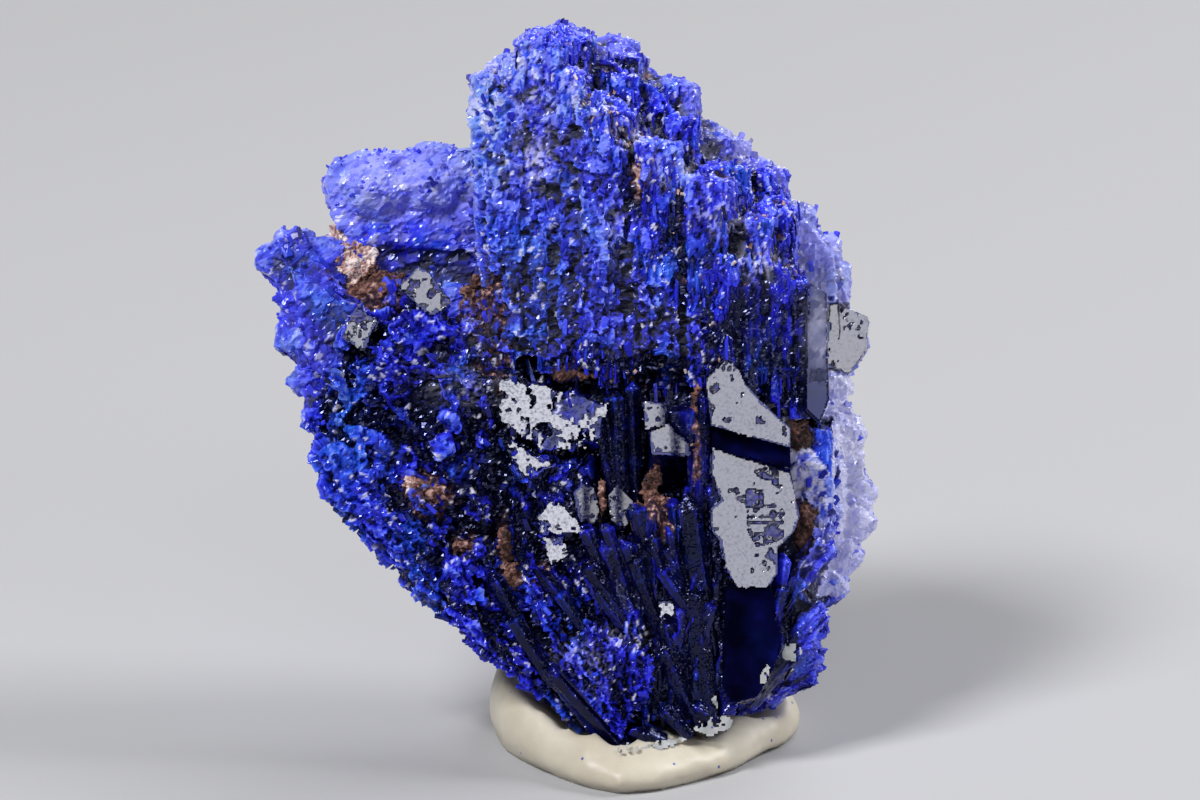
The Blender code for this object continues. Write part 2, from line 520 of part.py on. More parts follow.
# ---------------------------------------------------------------- assembly
def boolean(obj, tool, operation):
    """Apply one exact Boolean and keep the outer skin of the largest body."""
    modifier = obj.modifiers.new(operation.lower(), "BOOLEAN")
    modifier.operation = operation
    modifier.solver = "EXACT"
    modifier.use_self = True
    modifier.object = tool
    result = bpy.data.meshes.new_from_object(obj.evaluated_get(bpy.context.evaluated_depsgraph_get()))
    obj.modifiers.clear()
    obj.data = result
    bm = bmesh.new()
    bm.from_mesh(result)
    keep_outer_skin(bm)
    bmesh.ops.dissolve_limit(bm, angle_limit=math.radians(1.5), verts=bm.verts, edges=bm.edges)
    bm.to_mesh(result)
    bm.free()


def islands(bm):
    """The separate closed skins of a mesh."""
    left = set(bm.faces)
    while left:
        skin, edge = set(), [left.pop()]
        while edge:
            face = edge.pop()
            skin.add(face)
            for loop in face.loops:
                for other in loop.edge.link_faces:
                    if other in left:
                        left.discard(other)
                        edge.append(other)
        yield skin


def volume(skin):
    total = 0.0
    for face in skin:
        a = face.verts[0].co
        for b, c in zip(face.verts[1:], face.verts[2:]):
            total += a.dot(b.co.cross(c.co)) / 6
    return total


def keep_outer_skin(bm):
    skins = sorted(islands(bm), key=volume)
    spare = [face for skin in skins[:-1] for face in skin]
    bmesh.ops.delete(bm, geom=spare, context="FACES")


def main():
    clear_scene()
    specimen = new_collection("azurite_specimen")
    cutters = new_collection("cutters", hidden=True)
    growth = Growth()
    grow_heart(growth)
    grow_crown(growth)
    grow_back_ridge(growth)
    grow_back_knob(growth)
    grow_far_blades(growth)
    grow_plugs(growth)
    grow_left_plate(growth)
    grow_front_stack(growth)
    grow_middle(growth)
    grow_right_column(growth)
    grow_right_flank(growth)
    cluster = gather(growth.bodies[:1], "azurite_cluster", specimen)
    rest = gather(growth.bodies[1:], "growth", cutters)
    boolean(cluster, rest, "UNION")
    pad = make_pad(specimen)
    root = gather(growth.below(PAD_HEIGHT + 1.0), "root_clearance", cutters, grown=SEAT_GAP)
    boolean(pad, root, "DIFFERENCE")
    blue = paint("azurite", (0.012, 0.022, 0.30), 0.25)
    cream = paint("tack", (0.78, 0.73, 0.64), 0.55)
    cluster.data.materials.clear()
    cluster.data.materials.append(blue)
    pad.data.materials.clear()
    pad.data.materials.append(cream)
    print("bodies", len(growth.bodies), "cluster", len(cluster.data.polygons), "pad", len(pad.data.polygons))


main()
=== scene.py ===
"""Looks of the azurite specimen: crystals, clay, mineral tack, light and camera.

Lengths in the constants are millimetres; everything built is in metres, in the frame's own axes.
Most forms are placed as seen from the display side, looking slightly down: across to the right,
up, and deep behind the front crystals.
"""

import math

import bmesh
import bpy
import numpy as np
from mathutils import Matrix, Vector


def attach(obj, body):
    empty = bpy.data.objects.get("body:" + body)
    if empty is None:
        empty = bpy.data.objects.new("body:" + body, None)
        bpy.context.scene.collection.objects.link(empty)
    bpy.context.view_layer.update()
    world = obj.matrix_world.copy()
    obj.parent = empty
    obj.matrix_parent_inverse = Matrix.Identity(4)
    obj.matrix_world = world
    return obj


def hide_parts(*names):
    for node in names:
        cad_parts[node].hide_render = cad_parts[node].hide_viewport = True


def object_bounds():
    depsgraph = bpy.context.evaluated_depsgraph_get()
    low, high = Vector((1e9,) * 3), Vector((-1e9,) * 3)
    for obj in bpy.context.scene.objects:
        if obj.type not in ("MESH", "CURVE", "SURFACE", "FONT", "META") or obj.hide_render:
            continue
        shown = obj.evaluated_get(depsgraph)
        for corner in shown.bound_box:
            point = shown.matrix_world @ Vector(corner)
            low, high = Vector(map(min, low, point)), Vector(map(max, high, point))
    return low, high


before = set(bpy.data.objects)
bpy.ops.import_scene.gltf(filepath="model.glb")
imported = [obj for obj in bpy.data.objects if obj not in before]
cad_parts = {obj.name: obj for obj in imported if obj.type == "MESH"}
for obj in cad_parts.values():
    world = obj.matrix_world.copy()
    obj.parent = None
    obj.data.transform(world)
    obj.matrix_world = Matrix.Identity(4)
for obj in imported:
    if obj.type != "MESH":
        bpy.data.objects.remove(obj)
cad_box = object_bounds()

MM = 0.001
LOOK_DOWN = math.radians(15.0)
FRONT_Y, SIGHT_Z = -4.65, 1.03
SEED = 1107
rng = np.random.default_rng(SEED)


# ---------------------------------------------------------------- places and directions
def sight(across, up, deep):
    """A point in metres, given in mm as it is seen from the display side."""
    y = deep * math.cos(LOOK_DOWN) + up * math.sin(LOOK_DOWN) + FRONT_Y
    z = up * math.cos(LOOK_DOWN) - deep * math.sin(LOOK_DOWN) + SIGHT_Z
    return Vector((across, y, z)) * MM


def to_sight(points):
    """Across, up and deep in mm of an array of points in metres."""
    y = points[:, 1] / MM - FRONT_Y
    z = points[:, 2] / MM - SIGHT_Z
    up = y * math.sin(LOOK_DOWN) + z * math.cos(LOOK_DOWN)
    deep = y * math.cos(LOOK_DOWN) - z * math.sin(LOOK_DOWN)
    return points[:, 0] / MM, up, deep


UP = np.array(sight(0, 1, 0) - sight(0, 0, 0)) / MM
DEEP = np.array(sight(0, 0, 1) - sight(0, 0, 0)) / MM
RIGHTWARD = np.array((1.0, 0.0, 0.0))
ROOT = np.array(sight(0.4, -1.5, 2.2))


def unit(vectors):
    return vectors / np.maximum(np.linalg.norm(vectors, axis=-1, keepdims=True), 1e-12)


# ---------------------------------------------------------------- colours and nodes
def linear(code):
    """An sRGB hex colour as linear RGBA."""
    channels = [int(code[i : i + 2], 16) / 255 for i in (1, 3, 5)]
    curve = [c / 12.92 if c <= 0.04045 else ((c + 0.055) / 1.055) ** 2.4 for c in channels]
    return (*curve, 1.0)


def add_node(tree, kind, settings=None, inputs=None, links=None):
    """One node, with its own settings, its socket values, and links into its sockets."""
    node = tree.nodes.new(kind)
    for key, value in (settings or {}).items():
        setattr(node, key, value)
    for key, value in (inputs or {}).items():
        node.inputs[key].default_value = value
    for key, source in (links or {}).items():
        tree.links.new(source, node.inputs[key])
    return node


def new_material(name):
    material = bpy.data.materials.new(name)
    material.use_nodes = True
    material.node_tree.nodes.clear()
    return material, material.node_tree


def ramp(tree, source, stops):
    """A colour ramp with stops of position and hex colour."""
    node = add_node(tree, "ShaderNodeValToRGB", links={"Fac": source})
    elements = node.color_ramp.elements
    while len(elements) < len(stops):
        elements.new(0.5)
    for element, (place, code) in zip(elements, stops):
        element.position = place
        element.color = linear(code)
    return node.outputs["Color"]


def output(tree, shader):
    add_node(tree, "ShaderNodeOutputMaterial", links={"Surface": shader.outputs[0]})


def per_mm(count):
    """A texture scale that repeats so many times in a millimetre."""
    return count / MM


def azurite_material(name, roughness, glint):
    """Azurite, a glassy copper carbonate: near black where thick, ultramarine where light gets in; the tone
    attribute also carries painted light and shade, the frost one painted glints and glare.
    """
    material, tree = new_material(name)
    spot = add_node(tree, "ShaderNodeTexCoord").outputs["Object"]
    tone = add_node(tree, "ShaderNodeAttribute", {"attribute_name": "tone"}).outputs["Fac"]
    frost = add_node(tree, "ShaderNodeAttribute", {"attribute_name": "frost"}).outputs["Fac"]
    # growth zoning, about half a millimetre, darkens and lightens the blue
    cloud = add_node(
        tree, "ShaderNodeTexNoise", inputs={"Scale": per_mm(1.8), "Detail": 5.0}, links={"Vector": spot}
    )
    blend = add_node(
        tree, "ShaderNodeMath", {"operation": "MULTIPLY_ADD"}, {1: 0.3, 2: -0.15}, {0: cloud.outputs["Fac"]}
    )
    depth = add_node(tree, "ShaderNodeMath", {"operation": "ADD"}, links={0: tone, 1: blend.outputs[0]})
    violet = ramp(
        tree,
        depth.outputs[0],
        [
            (0.0, "#020212"), (0.18, "#070834"), (0.36, "#111276"), (0.56, "#1e1fba"),
            (0.76, "#363ee6"), (0.92, "#7684f6"), (1.0, "#b4bdf4"),
        ],
    )
    sky = ramp(
        tree,
        depth.outputs[0],
        [(0.0, "#010414"), (0.25, "#061448"), (0.5, "#133ca2"), (0.75, "#2f68e2"), (1.0, "#9dbcf2")],
    )
    # patches a few millimetres across lean to a sky blue
    patch = add_node(
        tree, "ShaderNodeTexNoise", inputs={"Scale": per_mm(0.55), "Detail": 6.0}, links={"Vector": spot}
    )
    lean = add_node(
        tree, "ShaderNodeMapRange", inputs={"From Min": 0.5, "From Max": 0.68, "To Max": 0.75},
        links={"Value": patch.outputs["Fac"]},
    )
    sky_lit = add_node(tree, "ShaderNodeAttribute", {"attribute_name": "sky"}).outputs["Fac"]
    lean = add_node(tree, "ShaderNodeMath", {"operation": "MAXIMUM"}, links={0: lean.outputs[0], 1: sky_lit})
    blue = add_node(
        tree, "ShaderNodeMix", {"data_type": "RGBA"}, links={"Factor": lean.outputs[0], "A": violet, "B": sky}
    )
    # frost whitens the blue: pale dust on the crystals, and painted glints and glare
    pale = add_node(
        tree, "ShaderNodeMix", {"data_type": "RGBA"}, {"B": linear("#dad9ee")},
        {"Factor": frost, "A": blue.outputs["Result"]},
    )
    # clay smeared into the clefts, brown with pinkish crumbs
    earth = add_node(tree, "ShaderNodeAttribute", {"attribute_name": "earth"}).outputs["Fac"]
    crumb = add_node(
        tree, "ShaderNodeTexNoise", inputs={"Scale": per_mm(5.0), "Detail": 5.0}, links={"Vector": spot}
    )
    clay = ramp(
        tree, crumb.outputs["Fac"], [(0.36, "#150c0e"), (0.5, "#3b2421"), (0.6, "#7c544c"), (0.7, "#d4b3aa")]
    )
    colour = add_node(
        tree, "ShaderNodeMix", {"data_type": "RGBA"},
        links={"Factor": earth, "A": pale.outputs["Result"], "B": clay},
    )
    # etched grain, about 50 microns, seen as a fine sparkle
    grain = add_node(
        tree, "ShaderNodeTexNoise", inputs={"Scale": per_mm(9.0), "Detail": 3.0}, links={"Vector": spot}
    )
    matt = add_node(
        tree, "ShaderNodeMapRange",
        inputs={"From Min": 0.3, "From Max": 0.7, "To Min": roughness * 0.3, "To Max": roughness * 1.9},
        links={"Value": grain.outputs["Fac"]},
    )
    polish = add_node(tree, "ShaderNodeAttribute", {"attribute_name": "polish"}).outputs["Fac"]
    crystal = add_node(
        tree, "ShaderNodeMapRange", inputs={"To Max": 0.07}, links={"Value": polish, "To Min": matt.outputs[0]}
    )
    rough = add_node(
        tree, "ShaderNodeMapRange", inputs={"To Max": 0.85},
        links={"Value": earth, "To Min": crystal.outputs[0]},
    )
    flat = add_node(
        tree, "ShaderNodeMapRange", inputs={"To Min": 0.45, "To Max": 0.06}, links={"Value": polish}
    )
    bump = add_node(
        tree, "ShaderNodeBump", inputs={"Distance": 0.03 * MM},
        links={"Strength": flat.outputs[0], "Height": grain.outputs["Fac"]},
    )
    shader = add_node(
        tree,
        "ShaderNodeBsdfPrincipled",
        inputs={"IOR": 1.75, "Specular IOR Level": glint, "Specular Tint": linear("#b4bcff")},
        links={
            "Base Color": colour.outputs["Result"],
            "Roughness": rough.outputs[0],
            "Normal": bump.outputs["Normal"],
        },
    )
    output(tree, shader)
    return material


def mirror_material(name, glint, grit):
    """A cleavage face of azurite: polished like black glass, dull and blue in its etch pits."""
    material, tree = new_material(name)
    spot = add_node(tree, "ShaderNodeTexCoord").outputs["Object"]
    etched = add_node(tree, "ShaderNodeAttribute", {"attribute_name": "etched"}).outputs["Fac"]
    fine = add_node(
        tree, "ShaderNodeTexNoise", inputs={"Scale": per_mm(9.0), "Detail": 6.0}, links={"Vector": spot}
    )
    mottled = add_node(
        tree, "ShaderNodeMath", {"operation": "MULTIPLY"}, links={0: etched, 1: fine.outputs["Fac"]}
    )
    colour = ramp(
        tree, mottled.outputs[0], [(0.0, "#0b0f3a"), (0.4, "#07082c"), (0.6, "#18168a"), (0.8, "#3a3cd0")]
    )
    # specks of dust and short scratches, 0.05 mm, dull the reflection here and there
    dust = add_node(
        tree, "ShaderNodeMapRange", inputs={"From Min": 0.4, "From Max": 0.7, "To Min": 0.07, "To Max": grit},
        links={"Value": fine.outputs["Fac"]},
    )
    rough = add_node(
        tree, "ShaderNodeMath", {"operation": "MULTIPLY_ADD"}, {1: 0.5}, {0: etched, 2: dust.outputs[0]}
    )
    bump = add_node(
        tree, "ShaderNodeBump", inputs={"Strength": 0.16, "Distance": 0.01 * MM},
        links={"Height": fine.outputs["Fac"]},
    )
    shader = add_node(
        tree,
        "ShaderNodeBsdfPrincipled",
        inputs={"IOR": 1.83, "Specular IOR Level": glint},
        links={"Base Color": colour, "Roughness": rough.outputs[0], "Normal": bump.outputs["Normal"]},
    )
    output(tree, shader)
    return material


def clay_material():
    """Limonitic clay: earthy, dry, from pinkish tan to dark brown."""
    material, tree = new_material("limonitic_clay")
    spot = add_node(tree, "ShaderNodeTexCoord").outputs["Object"]
    tone = add_node(tree, "ShaderNodeAttribute", {"attribute_name": "tone"}).outputs["Fac"]
    cloud = add_node(
        tree, "ShaderNodeTexNoise", inputs={"Scale": per_mm(3.0), "Detail": 6.0}, links={"Vector": spot}
    )
    blend = add_node(
        tree, "ShaderNodeMath", {"operation": "MULTIPLY_ADD"}, {1: 0.7, 2: -0.35}, {0: cloud.outputs["Fac"]}
    )
    depth = add_node(tree, "ShaderNodeMath", {"operation": "ADD"}, links={0: tone, 1: blend.outputs[0]})
    colour = ramp(
        tree, depth.outputs[0],
        [(0.0, "#1c1110"), (0.35, "#4f3029"), (0.62, "#8c6359"), (0.85, "#c6a59e"), (1.0, "#e9dbd4")],
    )
    bump = add_node(
        tree, "ShaderNodeBump", inputs={"Strength": 0.6, "Distance": 0.03 * MM},
        links={"Height": cloud.outputs["Fac"]},
    )
    shader = add_node(
        tree, "ShaderNodeBsdfPrincipled", inputs={"Roughness": 0.85},
        links={"Base Color": colour, "Normal": bump.outputs["Normal"]},
    )
    output(tree, shader)
    return material


def tack_material(name, colours):
    """Mineral tack: a waxy cream putty, faintly see-through, speckled with blue crystal dust."""
    material, tree = new_material(name)
    spot = add_node(tree, "ShaderNodeTexCoord").outputs["Object"]
    cloud = add_node(
        tree, "ShaderNodeTexNoise", inputs={"Scale": per_mm(0.35), "Detail": 5.0}, links={"Vector": spot}
    )
    cream = ramp(tree, cloud.outputs["Fac"], list(zip((0.3, 0.55, 0.75), colours)))
    # crystal dust: specks of 0.05 to 0.15 mm, far apart
    dust = add_node(
        tree, "ShaderNodeTexVoronoi", inputs={"Scale": per_mm(1.1), "Randomness": 1.0}, links={"Vector": spot}
    )
    speck = add_node(
        tree, "ShaderNodeMapRange", inputs={"From Min": 0.05, "From Max": 0.09, "To Min": 1.0, "To Max": 0.0},
        links={"Value": dust.outputs["Distance"]},
    )
    colour = add_node(
        tree, "ShaderNodeMix", {"data_type": "RGBA"}, {"B": linear("#39409a")},
        {"Factor": speck.outputs[0], "A": cream},
    )
    fine = add_node(
        tree, "ShaderNodeTexNoise", inputs={"Scale": per_mm(6.0), "Detail": 4.0}, links={"Vector": spot}
    )
    bump = add_node(
        tree, "ShaderNodeBump", inputs={"Strength": 0.25, "Distance": 0.03 * MM},
        links={"Height": fine.outputs["Fac"]},
    )
    shader = add_node(
        tree, "ShaderNodeBsdfPrincipled",
        inputs={
            "Roughness": 0.42, "IOR": 1.48, "Subsurface Weight": 0.35, "Subsurface Radius": (1.0, 0.7, 0.45),
            "Subsurface Scale": 0.7 * MM,
        },
        links={"Base Color": colour.outputs["Result"], "Normal": bump.outputs["Normal"]},
    )
    output(tree, shader)
    return material


# ---------------------------------------------------------------- noise
def lattice(cell, salt):
    """A repeatable random number from 0 to 1 for each whole-numbered cell."""
    mix = cell[:, 0] * 73856093 ^ cell[:, 1] * 19349663 ^ cell[:, 2] * 83492791 ^ salt * 2654435761
    mix = (mix ^ (mix >> 13)) * 1274126177 & 0x7FFFFFFF
    mix = (mix ^ (mix >> 15)) * 2246822519 & 0x7FFFFFFF
    return ((mix ^ (mix >> 11)) & 0xFFFFFF) / 0x1000000


def smooth_noise(points, salt):
    """Rolling noise from -1 to 1, one wave to a unit."""
    base = np.floor(points).astype(np.int64)
    part = points - base
    part = part * part * (3 - 2 * part)
    total = np.zeros(len(points))
    for dx in (0, 1):
        for dy in (0, 1):
            for dz in (0, 1):
                weight = 1.0
                for axis, step in enumerate((dx, dy, dz)):
                    weight = weight * (part[:, axis] if step else 1 - part[:, axis])
                total += weight * lattice(base + (dx, dy, dz), salt)
    return 2 * total - 1


def cell_noise(points, salt):
    """Nearest cell of a random packing: offset from its middle, and three random numbers for it."""
    base = np.floor(points).astype(np.int64)
    nearest = np.full(len(points), 1e9)
    offset = np.zeros((len(points), 3))
    numbers = np.zeros((len(points), 3))
    for dx in (-1, 0, 1):
        for dy in (-1, 0, 1):
            for dz in (-1, 0, 1):
                cell = base + (dx, dy, dz)
                jitter = np.stack([lattice(cell, salt + k) for k in range(3)], axis=1)
                away = points - (cell + jitter)
                distance = np.sum(away * away, axis=1)
                closer = distance < nearest
                nearest = np.where(closer, distance, nearest)
                offset = np.where(closer[:, None], away, offset)
                numbers = np.where(closer[:, None], np.roll(jitter, 1, axis=1), numbers)
    return offset, numbers


# ---------------------------------------------------------------- meshes
def select_only(obj):
    bpy.ops.object.select_all(action="DESELECT")
    obj.select_set(True)
    bpy.context.view_layer.objects.active = obj


def finish_piece(obj, material):
    obj.data.materials.clear()
    obj.data.materials.append(material)
    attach(obj, "root")


def merged_copy(node_name, name):
    """A copy of a CAD node's mesh with its loose triangles joined up."""
    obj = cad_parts[node_name].copy()
    obj.data = obj.data.copy()
    obj.name = name
    obj.parent = None
    bpy.context.scene.collection.objects.link(obj)
    bm = bmesh.new()
    bm.from_mesh(obj.data)
    bmesh.ops.remove_doubles(bm, verts=bm.verts, dist=1e-7)
    bm.to_mesh(obj.data)
    bm.free()
    return obj


def apply_modifier(obj, kind, **settings):
    select_only(obj)
    modifier = obj.modifiers.new(kind.lower(), kind)
    for key, value in settings.items():
        setattr(modifier, key, value)
    bpy.ops.object.modifier_apply(modifier=modifier.name)


def points_of(mesh):
    """Vertex places and normals as arrays."""
    places = np.empty(len(mesh.vertices) * 3)
    normals = np.empty(len(mesh.vertices) * 3)
    mesh.vertices.foreach_get("co", places)
    mesh.vertices.foreach_get("normal", normals)
    return places.reshape(-1, 3), normals.reshape(-1, 3)


def add_attribute(mesh, name, values):
    attribute = mesh.attributes.new(name, "FLOAT", "POINT")
    attribute.data.foreach_set("value", np.asarray(values, dtype=np.float32))


def mesh_object(name, places, triangles, **attributes):
    """An object from arrays of places and triangles, with values for each place."""
    mesh = bpy.data.meshes.new(name)
    mesh.vertices.add(len(places))
    mesh.vertices.foreach_set("co", places.astype(np.float32).ravel())
    mesh.loops.add(triangles.size)
    mesh.loops.foreach_set("vertex_index", triangles.astype(np.int32).ravel())
    mesh.polygons.add(len(triangles))
    mesh.polygons.foreach_set("loop_start", np.arange(0, triangles.size, 3, dtype=np.int32))
    mesh.update(calc_edges=True)
    mesh.validate()
    mesh.shade_flat()
    for key, values in attributes.items():
        add_attribute(mesh, key, values)
    obj = bpy.data.objects.new(name, mesh)
    bpy.context.scene.collection.objects.link(obj)
    return obj


def hull_shape(points):
    """Places and triangles of the convex body around some points."""
    bm = bmesh.new()
    for point in points:
        bm.verts.new(point)
    bmesh.ops.convex_hull(bm, input=bm.verts)
    loose = [v for v in bm.verts if not v.link_faces]
    bmesh.ops.delete(bm, geom=loose, context="VERTS")
    bmesh.ops.triangulate(bm, faces=bm.faces)
    bmesh.ops.recalc_face_normals(bm, faces=bm.faces)
    bm.verts.index_update()
    places = np.array([v.co[:] for v in bm.verts])
    triangles = np.array([[v.index for v in f.verts] for f in bm.faces])
    bm.free()
    return places, triangles


def rod_shapes(count):
    """Prisms cut off flat and a little askew, one unit wide, thick and long, foot at the origin."""
    shapes = []
    for _ in range(count):
        cut = rng.uniform(0.2, 0.42)
        corner = rng.uniform(-0.3, 0.3)
        section = [(cut, 0.5), (0.5, corner), (cut, -0.5), (-cut, -0.5), (-0.5, 0.0), (-cut, 0.5)]
        lean_x, lean_y = rng.uniform(-0.16, 0.16), rng.uniform(-0.05, 0.2)
        points = [(0.9 * x, 0.9 * y, 0.0) for x, y in section]
        points += [(x, y, 0.86 + lean_x * x - lean_y * y) for x, y in section]
        points += [(0.55 * x, 0.55 * y, 0.93 + lean_x * x - lean_y * y) for x, y in section[::2]]
        shapes.append(hull_shape(points))
    return shapes


def block_shapes(count):
    """Skewed blocks with uneven corners, one unit each way, foot at the origin."""
    shapes = []
    for _ in range(count):
        points = []
        for x in (-0.5, 0.5):
            for y in (-0.5, 0.5):
                for z in (0.0, 1.0):
                    jog = rng.uniform(-0.16, 0.16, 3)
                    points.append((x + 0.25 * z + jog[0], y + jog[1], z + jog[2]))
        shapes.append(hull_shape(points))
    return shapes


RODS = rod_shapes(7)
BLOCKS = block_shapes(7)
BOX_LOW = np.array(cad_box[0]) + 0.02 * MM
BOX_HIGH = np.array(cad_box[1]) - 0.02 * MM


def plant(name, shapes, places, along, facing, width, thick, length, tone, material, frost=0.0):
    """Many small crystals in one mesh: along is where each points, facing its broad side."""
    along = unit(along)
    facing = unit(facing - along * np.sum(facing * along, axis=1, keepdims=True))
    across = np.cross(facing, along)
    axes = np.stack([across * width[:, None], facing * thick[:, None], along * length[:, None]], axis=2) * MM
    pick = rng.integers(0, len(shapes), len(places))
    frost = np.broadcast_to(frost, len(places))
    all_places, all_triangles, all_tones, all_frost, start = [], [], [], [], 0
    for k, (shape, triangles) in enumerate(shapes):
        chosen = pick == k
        body = np.einsum("nij,vj->nvi", axes[chosen], shape) + places[chosen][:, None, :]
        inside = np.all((body > BOX_LOW) & (body < BOX_HIGH), axis=(1, 2))
        body = body[inside]
        count, corners = body.shape[0], shape.shape[0]
        all_places.append(body.reshape(-1, 3))
        steps = np.arange(count)[:, None, None] * corners + start
        all_triangles.append((triangles[None] + steps).reshape(-1, 3))
        all_tones.append(np.repeat(tone[chosen][inside], corners))
        all_frost.append(np.repeat(frost[chosen][inside], corners))
        start += count * corners
    obj = mesh_object(
        name, np.concatenate(all_places), np.concatenate(all_triangles),
        tone=np.concatenate(all_tones), frost=np.concatenate(all_frost),
    )
    finish_piece(obj, material)


# ---------------------------------------------------------------- flat faces
# outline across and up, deep at its middle, slopes of deep across and up, share of it etched away,
# and how much it bows back from its middle to each side
FACES = {
    "pitted_face": (
        [(-5.8, 15.0), (-3.0, 14.3), (-1.5, 13.9), (-1.7, 12.4), (-2.5, 12.0), (-4.1, 12.0), (-5.8, 13.2)],
        -0.3, (0.05, 0.12), 0.4, 0.008,
    ),
    "pitted_ledge": ([(-5.5, 12.5), (-4.0, 11.6), (-3.1, 11.5), (-5.1, 10.7)], -0.1, (0.06, 0.12), 0.4, 0.0),
    "white_face_upper": (
        [(-3.6, 10.2), (-4.3, 9.4), (-4.2, 8.6), (-2.5, 8.7), (-2.7, 9.2)], -0.2, (0.06, 0.12), 0.14, 0.0,
    ),
    "white_face_lower": (
        [(-4.1, 8.5), (-3.2, 8.5), (-3.0, 7.8), (-3.7, 7.3), (-3.9, 7.7)], -0.1, (0.06, 0.12), 0.2, 0.0,
    ),
    "tip_face_inner": (
        [(-9.9, 18.5), (-9.1, 19.4), (-8.7, 19.2), (-7.7, 17.9), (-8.6, 17.4)], 0.3, (0.06, 0.12), 0.35, 0.02,
    ),
    "tip_face_outer": (
        [(-12.2, 16.5), (-11.6, 17.8), (-10.7, 17.2), (-11.3, 16.0)], 0.55, (0.05, 0.12), 0.45, 0.03,
    ),
    "little_face_upper": ([(-0.1, 14.0), (0.9, 13.9), (0.8, 13.0), (0.0, 12.8)], -0.5, (0.10, 0.13), 0.1, 0.08),
    "little_face_lower": (
        [(0.2, 12.8), (0.9, 13.1), (1.7, 12.3), (1.7, 11.8), (0.3, 11.9)], -0.36, (0.12, 0.13), 0.05, 0.09,
    ),
    "step_face": ([(0.45, 5.9), (1.1, 6.0), (1.25, 4.8), (0.75, 4.65)], -0.38, (0.08, 0.13), 0.3, 0.05),
    "disc_left": (
        [(-2.8, 10.3), (-2.5, 10.7), (-2.0, 10.5), (-1.8, 9.6), (-2.0, 9.1), (-2.6, 9.2)],
        -0.14, (0.2, 0.08), 0.12, 0.14,
    ),
    "disc_right": (
        [(-1.5, 10.3), (-1.1, 10.7), (-0.6, 10.2), (-0.4, 9.4), (-0.8, 8.8), (-1.4, 9.1)],
        -0.24, (0.2, 0.08), 0.12, 0.14,
    ),
    "mirror_face_upper": (
        [
            (2.4, 14.9), (3.2, 15.6), (3.7, 15.3), (4.0, 14.7), (4.7, 13.9), (5.8, 12.9), (5.8, 12.1),
            (2.6, 13.0),
        ],
        -0.93, (0.06, 0.1), 0.05, 0.0,
    ),
    "mirror_face_lower": (
        [
            (2.7, 12.2), (5.8, 11.3), (6.0, 10.2), (6.2, 9.4), (6.0, 8.8), (5.3, 8.1), (5.3, 7.1),
            (4.9, 6.5), (3.7, 6.5), (3.2, 7.3), (3.0, 8.4), (2.6, 9.0), (2.6, 9.6), (3.1, 10.0), (2.6, 11.2),
        ],
        -0.5, (0.06, 0.12), 0.08, 0.0,
    ),
    "pale_face": (
        [(7.6, 18.1), (9.2, 17.4), (9.1, 16.0), (8.4, 15.1), (7.4, 15.4)], 4.95, (0.06, 0.12), 0.06, 0.01,
    ),
}
# faces with a pearly shine and ragged holes right through
PEARLY = ("pitted_face", "pitted_ledge", "white_face_upper", "white_face_lower", "step_face")
# flat faces that look away from the light, in the same terms
SHADED = {
    "band_face": (
        [(2.55, 13.1), (5.85, 12.2), (5.85, 11.2), (2.6, 12.1)], -0.3, (0.05, 0.7), 0.0, 0.0,
    ),
    "prism_face": (
        [(3.2, 6.55), (5.05, 6.55), (5.45, 4.4), (5.25, 3.3), (4.5, 2.2), (3.4, 1.9), (3.1, 2.6)],
        -0.26, (0.03, 0.0), 0.0, 0.02,
    ),
}
FLAT = {**FACES, **SHADED}
# torn films of tack that stuck to the crystals round the root, in the same terms
FILMS = {
    "tack_film_root": (
        [
            (1.8, 0.8), (2.2, 1.3), (2.5, 1.4), (2.7, 2.3), (2.85, 2.2), (3.0, 1.6), (3.3, 1.45), (3.7, 1.3),
            (3.4, 0.8), (2.6, 0.55),
        ],
        -0.42, (0.1, 0.1), 0.3, 0.1,
    ),
    "tack_film_rim": (
        [(-0.5, 0.1), (0.4, 0.5), (1.3, 0.6), (2.2, 0.95), (2.4, 0.6), (1.2, 0.25), (0.2, 0.05), (-0.4, -0.15)],
        -0.85, (0.3, 0.5), 0.35, 0.0,
    ),
    "tack_film_tip": (
        [
            (-1.5, 0.15), (-1.1, 0.1), (-1.15, 0.6), (-0.9, 0.15), (-0.65, 0.6), (-0.55, 0.2), (-0.1, 0.4),
            (-0.3, 0.0), (-0.8, -0.1),
        ],
        -1.62, (0.0, 0.6), 0.3, 0.0,
    ),
    "tack_film_side": (
        [(5.4, 4.6), (5.65, 4.3), (5.95, 4.8), (6.05, 4.1), (6.5, 4.0), (6.1, 3.6), (5.8, 3.0), (5.5, 3.7)],
        0.45, (0.2, 0.1), 0.3, 0.1,
    ),
    "tack_film_chip": (
        [(4.6, 2.5), (4.65, 3.3), (4.9, 3.9), (5.05, 3.1), (4.95, 2.5)], -0.38, (0.1, 0.0), 0.25, 0.1,
    ),
}
# dark glassy fronts without a mirror finish: outline and deep
GLASSY = [
    ([(3.3, 6.6), (5.0, 6.6), (5.5, 4.1), (4.5, 2.1), (3.3, 1.8), (3.0, 2.6)], -0.15),
    ([(2.5, 13.1), (5.9, 12.2), (5.9, 10.9), (2.6, 12.2)], -0.3),
    ([(-4.2, 3.2), (-3.6, 3.6), (-1.0, 0.4), (-0.3, -0.2), (-1.6, -0.2)], -0.1),
    ([(0.6, 4.0), (1.2, 4.2), (2.7, 1.4), (2.7, 0.5), (1.6, 1.6)], -0.1),
    ([(0.2, 12.8), (2.0, 12.6), (1.8, 10.6), (0.2, 10.4)], 0.2),
    ([(6.5, 18.8), (7.3, 18.3), (7.4, 14.0), (7.0, 13.0), (6.4, 13.6)], 0.5),
]


